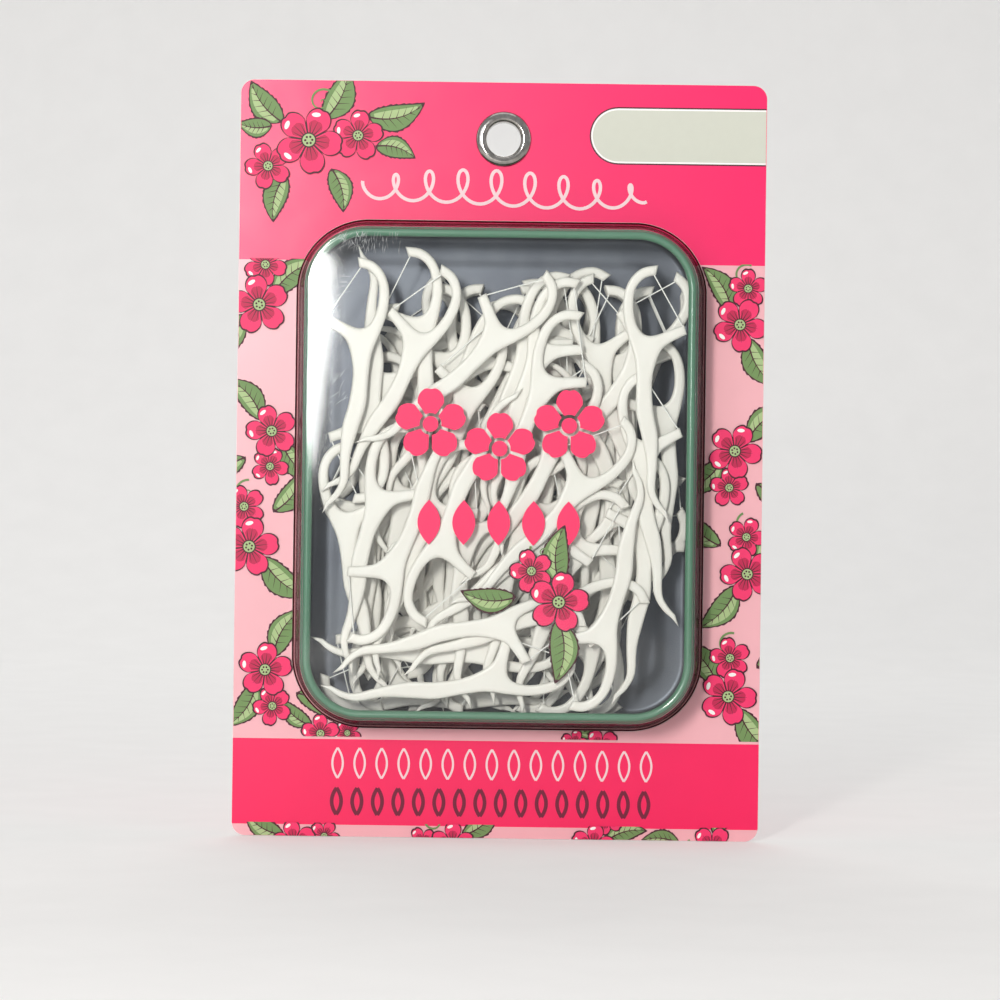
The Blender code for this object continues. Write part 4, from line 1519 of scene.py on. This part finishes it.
# a floor that bends up into the wall behind, in metres
backdrop = {
    "floor": "#F6F5F3", "shade": "#F2F1EF", "grainScale": 40.0, "ownLight": 0.4, "gap": 0.1 * mm,
    "half": 2.2, "front": -2.5, "bendFrom": 0.8, "bend": 0.5, "bendSteps": 12, "top": 2.4,
}


def makeCamera():
    data = bpy.data.cameras.new("camera")
    data.lens = camera["lens"]
    data.sensor_width = camera["sensor"]
    data.clip_end = camera["reach"]
    thing = addObject("camera", data)
    rolled = Matrix.Rotation(math.radians(camera["roll"]), 4, "Z")
    thing.matrix_world = Matrix.Translation(camera["place"]) @ standUp @ rolled
    bpy.context.scene.camera = thing


def seenDirectly(tree):
    # 1 for what the camera, a mirror or glass sees, and 0 for the light that falls on things
    path = addNode(tree, "ShaderNodeLightPath")
    seen = path.outputs["Is Camera Ray"]
    for other in ("Is Glossy Ray", "Is Transmission Ray"):
        seen = addNode(tree, "ShaderNodeMath", links={0: seen, 1: path.outputs[other]}, operation="ADD")
    return seen


def makeLamps():
    for name, settings in studio["lamps"].items():
        bearing, height, distance, wide, tall, roll, watts, code = settings
        data = bpy.data.lights.new(name, "AREA")
        data.shape = "RECTANGLE"
        data.size = wide
        data.size_y = tall
        data.energy = watts
        data.color = toLinear(code)[:3]
        side = math.radians(bearing)
        up = math.radians(height)
        aim = Vector((-math.sin(side) * math.cos(up), -math.cos(side) * math.cos(up), math.sin(up)))
        turn = aim.to_track_quat("Z", "Y").to_matrix().to_4x4()
        turn = turn @ Matrix.Rotation(math.radians(roll), 4, "Z")
        stand = Matrix.Translation(Vector(studio["middle"]) + aim * distance)
        addObject(name, data).matrix_world = stand @ turn


def makeWorld():
    world = bpy.data.worlds.new("studio")
    bpy.context.scene.world = world
    world.use_nodes = True
    tree = world.node_tree
    sky = tree.nodes["Background"]
    sky.inputs["Color"].default_value = toLinear(studio["world"])
    strength = addNode(
        tree, "ShaderNodeMapRange", {"To Min": studio["worldStrength"], "To Max": studio["worldSeen"]},
        {"Value": seenDirectly(tree)},
    )
    tree.links.new(strength.outputs[0], sky.inputs["Strength"])


def paintedPaper():
    # matt painted studio paper. Part of its paleness is its own, so that the lamps can stay low
    material, tree, where = startMaterial("paintedBackdrop", {"Roughness": 0.9})
    grain = addNode(
        tree, "ShaderNodeTexNoise", {"Scale": backdrop["grainScale"], "Detail": 3}, {"Vector": where}
    )
    stops = [(0.3, backdrop["shade"]), (0.7, backdrop["floor"])]
    addNode(tree, "ShaderNodeValToRGB", links={0: grain}, stops=stops, into="Base Color")
    share = addNode(
        tree, "ShaderNodeMapRange", {"To Max": backdrop["ownLight"]}, {"Value": seenDirectly(tree)}
    )
    glow = addNode(tree, "ShaderNodeEmission", {"Color": toLinear(backdrop["floor"])})
    paint = tree.nodes["Principled BSDF"]
    addNode(tree, "ShaderNodeMixShader", links={0: share, 1: paint, 2: glow}, into="Surface")
    return material


def makeBackdrop():
    floorZ = cardLow.z - backdrop["gap"]
    bend = backdrop["bend"]
    profile = [(backdrop["front"], floorZ), (backdrop["bendFrom"], floorZ)]
    for step in range(1, backdrop["bendSteps"] + 1):
        angle = math.radians(90 * step / backdrop["bendSteps"])
        profile.append((backdrop["bendFrom"] + bend * math.sin(angle), floorZ + bend * (1 - math.cos(angle))))
    profile.append((backdrop["bendFrom"] + bend, backdrop["top"]))
    shape = bmesh.new()
    sides = (-backdrop["half"], backdrop["half"])
    left, right = ([shape.verts.new((x, y, z)) for y, z in profile] for x in sides)
    for i in range(len(profile) - 1):
        shape.faces.new((left[i], right[i], right[i + 1], left[i + 1]))
    mesh = meshFrom(shape, "backdrop")
    mesh.materials.append(paintedPaper())
    floor = addObject("backdrop", mesh)


makeCamera()
makeLamps()
makeWorld()
makeBackdrop()
bpy.context.scene.view_settings.view_transform = "Standard"
print("camera and lamps")
